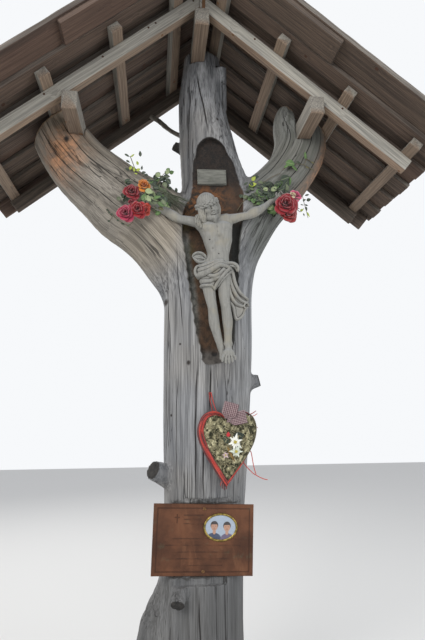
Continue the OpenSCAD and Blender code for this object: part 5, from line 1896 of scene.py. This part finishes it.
# Leaves and bits between them: middle, length and width in metres, the way that each points, colour.
FELT_BITS = [
    ((0.104, -0.1985, 1.058), 0.040, 0.030, (1, 0, 0.3), (34, 46, 36)),
    ((0.072, -0.2045, 1.000), 0.050, 0.009, (0.4, -0.1, -1), (128, 102, 48)),
    ((0.080, -0.204, 0.988), 0.040, 0.008, (0.5, 0, -1), (112, 84, 44)),
    ((0.066, -0.204, 1.064), 0.018, 0.013, (0.1, 0, 1), (186, 40, 48)),
    ((0.058, -0.200, 1.046), 0.030, 0.020, (-0.5, 0, 1), (44, 56, 40)),
]
middles, lengths, widths, ways, tones = zip(*FELT_BITS)
flowers.append(blades(np.array(middles), lengths, widths, np.array(ways, float), np.array([0, -1.0, 0]),
                      [0.05] * len(FELT_BITS), painted(tones)))
build("heart_felt_flowers", flowers, felt_flower, "heart_flowers", angle=None)

# The bow: one strip of small-checked ribbon, laid in two flat loops and tied off in the middle. It
# is fixed at the heart's notch.

RIBBON_W, RIBBON_L = 0.052, 0.270
RIBBON_ROWS, RIBBON_COLS = 44, 14
# Each loop: its foot, the way that it points, its reach, its width, and how far it stands out.
LOOPS = [((0.065, 1.116), (0.26, 0.965), 0.060, 0.052, 0.0090),
         ((0.067, 1.113), (0.97, 0.20), 0.066, 0.046, 0.0075)]
ribbon = []
for foot, way, reach, width, rise in LOOPS:
    t, u = np.linspace(0, 2 * np.pi, RIBBON_ROWS)[:, None], np.linspace(-1, 1, RIBBON_COLS)[None]
    out = reach * (1 - np.cos(t)) / 2
    pinch = 0.40 + 0.60 * ease(out, 0.0, 0.020)
    crimp = 0.0012 * np.sin(5 * u * np.pi) * (1 - ease(out, 0.0, 0.026))
    across = u * width / 2 * pinch
    x = foot[0] + way[0] * out - way[1] * across
    z = foot[1] + way[1] * out + way[0] * across
    y = (HEART_Y - 0.0300 - rise * np.sin(t) * (0.55 + 0.45 * ease(out, 0, 0.02)) + crimp
         + 0.002 * np.sin(3 * u + t))
    run = np.concatenate([[0], np.cumsum(np.hypot(np.diff(out[:, 0]), np.diff(y[:, RIBBON_COLS // 2])))])
    uv = vectors(u * RIBBON_W / 2, run[:, None]).reshape(-1, 2)
    ribbon.append((vectors(x, y, z).reshape(-1, 3), ring_faces(RIBBON_ROWS, RIBBON_COLS, closed=False),
                   {"weave": np.c_[uv, np.zeros(len(uv))]}))
t, u = np.linspace(0, 2 * np.pi, 24)[:, None], np.linspace(-1, 1, 6)[None]
knot = vectors(0.071 + 0.007 * np.cos(t) + 0.004 * u, HEART_Y - 0.0310 - 0.0075 * np.sin(t),
               1.117 + 0.011 * u + 0.002 * np.cos(t))
uv = vectors(u * 0.011, t * 0.0075, 0).reshape(-1, 3)
ribbon.append((knot.reshape(-1, 3), ring_faces(24, 6, closed=False), {"weave": uv}))


def ribbon_colour(place):
    """A dark check where the sine across and the sine along the ribbon are high, greyed by noise."""
    across, along, _ = place.attribute("weave", "Vector").axes()
    first = (across * 966).math("SINE").between(-0.25, 0.25)
    second = (along * 966).math("SINE").between(-0.25, 0.25)
    return (first * 0.68 + second * 0.32).mix((168, 146, 146), (66, 16, 28)).over(
        (place.noise(60, 3).between(0.4, 0.75) * 0.25, (104, 74, 84)))


def ribbon_relief(place):
    """The threads of the weave, as a sine across and a sine along the ribbon."""
    across, along, _ = place.attribute("weave", "Vector").axes()
    return (across * 9000).math("SINE") * 0.3 + (along * 9000).math("SINE") * 0.3


check_ribbon = finish_of("check_ribbon", ribbon_colour, 0.7, ribbon_relief, 0.0003, Sheen_Weight=0.3)
points, faces, values = gather(ribbon)
bow = add_mesh("heart_ribbon_bow", points, faces, check_ribbon)
add_values(bow, "weave", values["weave"])
cloth = bow.modifiers.new("cloth", "SOLIDIFY")
cloth.thickness, cloth.offset = 0.0005, 0.0
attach(bow, "root")
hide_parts("heart_bow")

# The roses: cloth petals glued in a spiral round a bud, cupped inside and turned back at the rim,
# tied round both of the figure's hands. Each row gives the middle and the radius in mm, the way that
# the rose faces, its petals, and its inner and outer colour.

LEFT_ROSES = [
    ((-286, -186, 1958), 34, (0.05, -1, 0.10), 15, (80, 6, 18), (132, 16, 28)),
    ((-241, -186, 1986), 28, (0.10, -1, 0.20), 12, (156, 66, 12), (196, 118, 28)),
    ((-306, -186, 1874), 36, (-0.15, -1, -0.05), 15, (98, 6, 26), (160, 40, 70)),
    ((-263, -188, 1890), 36, (0.05, -1, -0.20), 15, (70, 5, 12), (152, 17, 26)),
    ((-284, -190, 1912), 19, (0.0, -1, -0.2), 8, (70, 8, 18), (128, 16, 30)),
    ((-234, -184, 1890), 25, (0.25, -1, -0.4), 8, (128, 22, 20), (178, 64, 46)),
]
RIGHT_ROSES = [
    ((308, -168, 1938), 48, (-0.05, -1, 0.0), 18, (58, 5, 13), (142, 16, 30)),
    ((352, -158, 1980), 28, (0.25, -1, 0.35), 12, (146, 26, 72), (204, 96, 126)),
    ((322, -152, 1908), 40, (0.10, -1, -0.20), 16, (84, 10, 15), (148, 36, 34)),
    ((336, -178, 1976), 14, (0.2, -1, 0.2), 7, (176, 158, 118), (206, 192, 160)),
]


PETAL_ROWS, PETAL_COLS = 10, 11
GOLDEN_ANGLE = 2.39996


def rose(middle, radius, facing, count, inner, outer):
    """Petal k sits at k golden angles. Its height and reach grow with v from the base, its edge is
    rounded by shortening v towards both sides, and outer petals lie flatter and turn back."""
    k = np.arange(count)
    t = (k / (count - 1.0))[:, None, None]
    v, u = np.linspace(0, 1, PETAL_ROWS)[:, None], np.linspace(-1, 1, PETAL_COLS)[None]
    run = v * (1 - 0.34 * np.abs(u) ** 2.6)
    spread = np.radians(78 - 34 * t)
    turn = (k * GOLDEN_ANGLE + rng.uniform(-0.2, 0.2, count))[:, None, None] + spread * u * (0.55 + 0.45 * v)
    reach = 0.05 + 0.10 * t + (0.12 + 0.82 * t) * run ** (1.5 - 0.5 * t)
    height = -0.42 + (1.05 - 0.42 * t) * np.sin(run * (1.45 + 0.75 * t)) - 0.16 * t
    ruffle = 0.035 * np.sin(u * rng.uniform(4, 7, count)[:, None, None] + k[:, None, None]) * run ** 3
    reach, height = (reach + ruffle) * radius, (height - 0.10 * t * u ** 2 * run + ruffle) * radius
    axis = unit(np.array(facing, float))
    first = unit(np.cross(axis, (0, 0, 1.0)))
    out = np.cos(turn)[..., None] * first + np.sin(turn)[..., None] * np.cross(axis, first)
    sheet = reach[..., None] * out + height[..., None] * axis
    half = 0.35 * (out + 0.5 * axis)
    both = np.stack([sheet + half, sheet - half], axis=1)
    points = (np.array(middle) + both).reshape(count, -1, 3) / 1000
    # Inner petals and petal bases take the darker inner colour: partly the cloth's own deeper colour, partly
    # painted shade in the rose's cup.
    shade = np.clip(0.25 + 0.75 * t * run + 0.25 * run, 0, 1)
    shade = np.repeat(shade[:, None], 2, axis=1).reshape(count, -1)
    inner, outer = painted([inner, outer])
    paint = inner * (1 - shade[..., None]) + outer * shade[..., None]
    paint = paint * rng.uniform(0.85, 1.1, count)[:, None, None]
    blade = vectors(u, run, k[:, None, None, None] * 1.0)
    blade = np.broadcast_to(blade, (count, 2, PETAL_ROWS, PETAL_COLS, 3)).reshape(count, -1, 3)
    return repeated(points, two_sided(PETAL_ROWS, PETAL_COLS), {"paint": paint, "blade": blade})


def petal_colour(place):
    """The painted colour, with veins by a sine across the petal and a faded rim."""
    across, along, _ = place.attribute("blade", "Vector").axes()
    veins = (across * 34 + place.noise(60, 2) * 2).math("SINE").between(0.3, 1.0) * 0.10
    faded = (along.between(0.8, 1.0) * place.noise(70, 3).between(0.35, 0.6)) * 0.25
    return place.attribute("paint", "Vector").over((veins, (60, 6, 18)), (faded, (236, 190, 190)))


def petal_weave(place):
    """Fine noise for the threads, and coarser noise for creases."""
    return place.noise(700, 2, 0.6) * 0.6 + place.noise(120, 3, 0.6) * 0.8


cloth_rose = finish_of("cloth_rose", petal_colour, 0.7, petal_weave, 0.0005, Sheen_Weight=0.35,
                       Sheen_Roughness=0.4)
for name, roses in (("left", LEFT_ROSES), ("right", RIGHT_ROSES)):
    build("rose_petals_" + name, [rose(*row) for row in roses], cloth_rose, "roses_" + name, angle=None)

# The leaves: sprays of small cloth and paper leaves on wire stems, tucked in behind the roses and
# laid over the arms of the trunk, and a sprig with dark needles beside the left hand. Each row gives
# the middle, the length and the width in mm, the angle from level, and the tone's number.

TONES = ["pale", "dark", "bright", "dull", "mid", "olive"]
LEFT_LEAVES = [
    (-211, -148, 1965, 37, 27, -40, 0), (-239, -163, 1937, 27, 23, -100, 0),
    (-157, -159, 1912, 31, 21, -10, 0), (-189, -130, 2056, 23, 20, 80, 0), (-184, -128, 1995, 31, 23, 30, 3),
    (-217, -91, 2042, 39, 14, -20, 1), (-161, -88, 2024, 35, 23, -15, 1), (-148, -130, 2030, 27, 20, -50, 1),
    (-204, -125, 2020, 27, 23, -60, 1), (-220, -112, 2038, 27, 12, -15, 0), (-134, -83, 2009, 23, 12, -50, 2),
    (-161, -102, 2015, 20, 12, -60, 0), (-152, -130, 2069, 20, 16, 60, 0), (-173, -130, 2042, 23, 8, 35, 1),
    (-320, -162, 1950, 20, 16, -90, 1), (-296, -147, 2011, 23, 12, 10, 1),
    (-316, -157, 1933, 16, 12, -100, 1), (-196, -132, 2001, 27, 20, -20, 1), (-177, -91, 2032, 27, 20, 10, 1),
    (-230, -149, 1984, 23, 16, 40, 3), (-260, -166, 1935, 20, 12, -80, 0), (-226, -162, 1918, 23, 16, -60, 3),
    (-199, -160, 1928, 23, 16, -20, 3), (-180, -152, 1952, 31, 20, -30, 1),
    (-157, -128, 1971, 31, 20, -40, 1), (-214, -159, 1940, 23, 16, -70, 1),
    (-191, -168, 1905, 23, 16, -10, 3), (-310, -130, 2131, 23, 8, -30, 1), (-320, -93, 2098, 18, 6, -60, 1),
    (-310, -121, 2076, 18, 8, -45, 1), (-305, -70, 2103, 18, 14, 60, 2), (-288, -130, 2131, 18, 8, 40, 2),
    (-269, -130, 2101, 16, 10, 110, 2), (-259, -130, 2140, 23, 12, 95, 1), (-267, -60, 2086, 23, 7, -35, 2),
    (-248, -89, 2063, 20, 12, 10, 3), (-234, -85, 2053, 16, 12, 70, 1), (-233, -53, 2071, 14, 8, -20, 1),
    (-251, -116, 2038, 14, 8, 70, 1), (-381, -117, 1908, 12, 8, -50, 1), (-373, -119, 1897, 14, 8, -60, 1),
    (-362, -125, 1889, 12, 7, -20, 1), (-376, -94, 1873, 12, 8, 30, 1), (-339, -124, 1865, 12, 8, -30, 1),
    (-320, -131, 1850, 16, 8, -20, 1), (-300, -133, 1842, 12, 6, 10, 3), (-307, -112, 2115, 20, 8, -35, 1),
    (-296, -110, 2089, 18, 11, 60, 2), (-283, -110, 2084, 18, 10, 100, 2), (-266, -112, 2082, 18, 11, 20, 2),
    (-253, -112, 2090, 20, 8, 85, 1), (-269, -108, 2079, 16, 10, -40, 2), (-245, -110, 2071, 18, 12, 10, 1),
    (-234, -112, 2060, 18, 12, -30, 1), (-307, -110, 2081, 16, 8, -70, 1), (-277, -108, 2065, 16, 8, 20, 2),
    (-220, -114, 2033, 27, 16, -10, 1), (-191, -116, 2039, 25, 18, 40, 4), (-161, -112, 2034, 22, 16, 10, 1),
    (-147, -112, 2034, 25, 18, -60, 1), (-222, -192, 1958, 30, 22, -15, 0), (-239, -192, 1935, 30, 22, 60, 4),
    (-204, -192, 1927, 34, 20, -25, 0), (-173, -190, 1915, 32, 18, -40, 3), (-190, -192, 1935, 28, 18, 20, 4),
    (-211, -194, 1912, 30, 16, -50, 3), (-176, -190, 1892, 24, 14, -30, 5),
    (-160, -188, 1930, 26, 16, -70, 1), (-202, -196, 1908, 34, 20, -10, 3),
    (-178, -197, 1905, 30, 18, -30, 4), (-224, -196, 1928, 30, 20, -45, 0),
    (-166, -195, 1914, 28, 16, -60, 3),
]
LEFT_STEMS = [
    [(-311, -111, 2080), (-287, -106, 2070), (-260, -105, 2054), (-228, -111, 2026), (-196, -114, 2005)],
    [(-298, -130, 2130), (-275, -85, 2088), (-257, -65, 2084), (-229, -86, 2052), (-189, -95, 2020)],
    [(-383, -117, 1914), (-371, -114, 1895), (-363, -113, 1884), (-376, -91, 1872)],
    [(-363, -119, 1894), (-340, -121, 1870), (-301, -132, 1846), (-281, -148, 1854)],
    [(-147, -130, 2077), (-172, -130, 2054), (-204, -131, 1993)],
    [(-134, -84, 2005), (-173, -113, 2002), (-204, -137, 1982)],
]
RIGHT_LEAVES = [
    (189, -111, 2039, 33, 20, 10, 2), (197, -94, 2073, 23, 16, 50, 2), (236, -138, 2008, 23, 20, -70, 0),
    (272, -130, 2015, 27, 21, 35, 0), (254, -133, 1940, 33, 29, 50, 0), (155, -124, 1981, 18, 18, 20, 3),
    (320, -124, 2065, 39, 31, 20, 1), (302, -128, 2015, 31, 20, 20, 1), (213, -140, 1994, 27, 20, -40, 1),
    (209, -124, 2026, 23, 16, -20, 1), (225, -139, 1974, 31, 23, -10, 1), (262, -137, 1980, 31, 23, 30, 1),
    (290, -127, 2041, 31, 20, 20, 1), (249, -130, 2038, 31, 16, 25, 1), (185, -138, 1981, 23, 16, -60, 1),
    (201, -138, 1961, 23, 20, -20, 1), (220, -142, 1947, 23, 16, 60, 1), (282, -111, 1924, 20, 16, -60, 1),
    (276, -125, 1961, 27, 20, 80, 1), (169, -118, 2014, 20, 12, 60, 1), (344, -123, 2133, 39, 27, -10, 4),
    (360, -120, 2112, 31, 20, -45, 4), (327, -120, 2119, 23, 12, -140, 4), (408, -121, 2170, 31, 12, 95, 4),
    (379, -117, 2140, 20, 12, 160, 1), (444, -103, 2150, 14, 6, -30, 5), (443, -96, 2123, 20, 8, -30, 5),
    (419, -107, 2125, 16, 7, -30, 5), (416, -100, 2009, 20, 8, 20, 1), (422, -100, 1989, 18, 14, 10, 1),
    (403, -100, 1986, 16, 12, -120, 1), (394, -100, 1965, 14, 7, -20, 1), (411, -100, 1965, 14, 7, -10, 1),
    (391, -100, 1943, 16, 10, 30, 2), (399, -100, 1924, 14, 6, -80, 1), (410, -100, 1950, 20, 9, -80, 1),
    (417, -100, 1925, 23, 8, -60, 2), (377, -100, 1949, 12, 6, 150, 1),
]
RIGHT_STEMS = [
    [(315, -116, 2107), (341, -116, 2126), (383, -116, 2137), (414, -110, 2133), (459, -73, 2130)],
    [(411, -113, 2193), (415, -111, 2158), (405, -111, 2131)],
    [(410, -113, 2166), (433, -106, 2157), (454, -93, 2152)],
    [(226, -120, 2041), (261, -117, 2070), (306, -118, 2093)],
    [(124, -115, 1925), (140, -115, 1951), (159, -127, 1972), (200, -127, 2003)],
    [(380, -65, 2010), (395, -100, 2006), (403, -100, 1976), (410, -100, 1946), (417, -100, 1912)],
    [(361, -100, 1961), (385, -100, 1937), (402, -100, 1954)],
]


def in_one_tone(rods, faces, colour):
    """Rods as shapes of the leaves' material, in one colour and without veins."""
    flat = np.zeros(rods.shape)
    return repeated(rods, faces, {"paint": flat + painted([colour]), "blade": flat + 0.5})


def spray(leaves, stems, fill):
    """The listed leaves, fill leaves behind each of the first of them in darker tones as painted shade, and
    the stems.
    """
    rows = np.array(leaves, float)
    behind = np.repeat(rows[:fill], 3, axis=0)
    behind[:, 0] += rng.normal(0, 13, len(behind))
    behind[:, 1] += rng.uniform(1, 12, len(behind))
    behind[:, 2] += rng.normal(0, 13, len(behind))
    behind[:, 5] += rng.normal(0, 70, len(behind))
    # The fill leaves lie deeper and take darker tones: painted shade behind the front leaves.
    behind[:, 6] = rng.choice([1, 1, 1, 3, 4], len(behind))
    rows = np.vstack([rows, behind])
    angle = np.radians(rows[:, 5])
    ways = vectors(np.cos(angle), rng.uniform(-0.45, 0.15, len(rows)), np.sin(angle))
    facing = vectors(rng.normal(0, 0.3, len(rows)), -1, rng.normal(0.1, 0.3, len(rows)))
    tones = painted([TONES[int(tone)] for tone in rows[:, 6]])
    colours = tones * rng.uniform(0.75, 1.2, len(rows))[:, None]
    shapes = [blades(rows[:, :3] / 1000 - [0, 0.003, 0], rows[:, 3] / 1000, rows[:, 4] / 1000, ways, facing,
                     rng.uniform(-0.05, 0.16, len(rows)), colours, rows=9, cols=5)]
    for stem in stems:
        line = smooth_line(stem, 5) / 1000
        shapes.append(in_one_tone(*tubes(line[None], np.linspace(0.0016, 0.0009, len(line)), 6),
                                  (84, 62, 42)))
    return shapes


def leaf_colour(place):
    """The painted colour, with dark specks, a pale rib where the blade's middle is, and slanting
    veins."""
    across, along, _ = place.attribute("blade", "Vector").axes()
    off = across.math("ABSOLUTE")
    rib = 1 - off.between(0.02, 0.14)
    veins = ((along * 8 + off * -1.6) * 6.283).math("SINE").between(0.75, 1.0)
    return place.attribute("paint", "Vector").over(
        (place.noise(150, 3, 0.6).between(0.35, 0.75) * 0.30, (30, 34, 26)),
        (rib * 0.45 + veins * 0.18, (150, 160, 120)))


cloth_leaf = finish_of("cloth_leaf", leaf_colour, 0.6, (300, 3, 0.6), 0.0004, Sheen_Weight=0.1)
NEEDLES = 30
needle_from = vectors(rng.uniform(-192, -150, NEEDLES), rng.uniform(-146, -136, NEEDLES),
                      rng.uniform(1962, 1992, NEEDLES))
needle_to = vectors(np.linspace(-150, -46, NEEDLES), rng.uniform(-152, -138, NEEDLES),
                    np.linspace(1862, 1946, NEEDLES))
t = np.linspace(0, 1, 9)[:, None]
sag = rng.normal(0, 5, (NEEDLES, 1, 3)) * np.sin(np.pi * t) * [1, 0.3, 1]
needles = (needle_from[:, None] * (1 - t) + needle_to[:, None] * t + sag) / 1000
sprig = in_one_tone(*tubes(needles, 0.0016 * (1.05 - t[:, 0] ** 3), 5), (30, 36, 28))
build("leaf_spray_left", spray(LEFT_LEAVES, LEFT_STEMS, 27) + [sprig], cloth_leaf, "leaves_left", angle=None)
build("leaf_spray_right", spray(RIGHT_LEAVES, RIGHT_STEMS, 20), cloth_leaf, "leaves_right", angle=None)

# The floor, the light and the view: a pale floor, an even sky, a key light from the upper left, a
# fill light and a rim light, and the photo's camera, 1.15 m above the ground.

floor = add_mesh("floor", [(-9, -9, 0), (9, -9, 0), (9, 9, 0), (-9, 9, 0)], [(0, 1, 2, 3)])
floor.data.materials.append(finish_of("pale_floor", srgb(222, 222, 220), 0.9))

world = bpy.data.worlds.new("studio")
bpy.context.scene.world = world
world.use_nodes = True
sky = Flow(world.node_tree)
seen, glossy = (sky.node("ShaderNodeLightPath", out=ray) for ray in ("Is Camera Ray", "Is Glossy Ray"))
level = seen.math("MAXIMUM", glossy).mix((0.62, 0.63, 0.66, 1.0), (0.93, 0.945, 0.965, 1.0))
feed(sky.tree, sky.tree.nodes["Background"].inputs["Color"], level)


def add_light(name, place, aim, size, power, colour):
    """A square lamp at a place, turned so that its own -Z points at the aim."""
    lamp = bpy.data.lights.new(name, "AREA")
    lamp.size, lamp.energy, lamp.color = size, power, colour
    holder = bpy.data.objects.new(name, lamp)
    holder.location = place
    holder.rotation_euler = (Vector(aim) - Vector(place)).to_track_quat("-Z", "Y").to_euler()
    bpy.context.scene.collection.objects.link(holder)


add_light("key", (-2.6, -3.2, 3.6), (0, 0, 1.7), 2.4, 118, (1.0, 0.98, 0.96))
add_light("fill", (3.2, -2.6, 2.0), (0, 0, 1.8), 2.6, 66, (0.94, 0.97, 1.0))
add_light("rim", (-1.6, 3.4, 4.2), (0, 0, 2.2), 1.8, 90, (1.0, 0.98, 0.95))

EYE = Vector((-0.192, -2.05, 1.15))
yaw, rise, roll = np.radians([6.35, 9.78, 0.39])
forward = Vector((np.sin(yaw) * np.cos(rise), np.cos(yaw) * np.cos(rise), np.sin(rise)))
level_right = Vector((np.cos(yaw), -np.sin(yaw), 0))
level_up = level_right.cross(forward)
right = np.cos(roll) * level_right - np.sin(roll) * level_up
up = np.sin(roll) * level_right + np.cos(roll) * level_up
camera = bpy.data.objects.new("camera", bpy.data.cameras.new("camera"))
camera.matrix_world = Matrix.Translation(EYE) @ Matrix((right, up, -forward)).transposed().to_4x4()
camera.data.sensor_fit = "VERTICAL"
camera.data.sensor_height = 24.0
camera.data.lens = 19.5
camera.data.clip_start = 0.05
bpy.context.scene.collection.objects.link(camera)
bpy.context.scene.camera = camera
bpy.context.scene.view_settings.view_transform = "Standard"
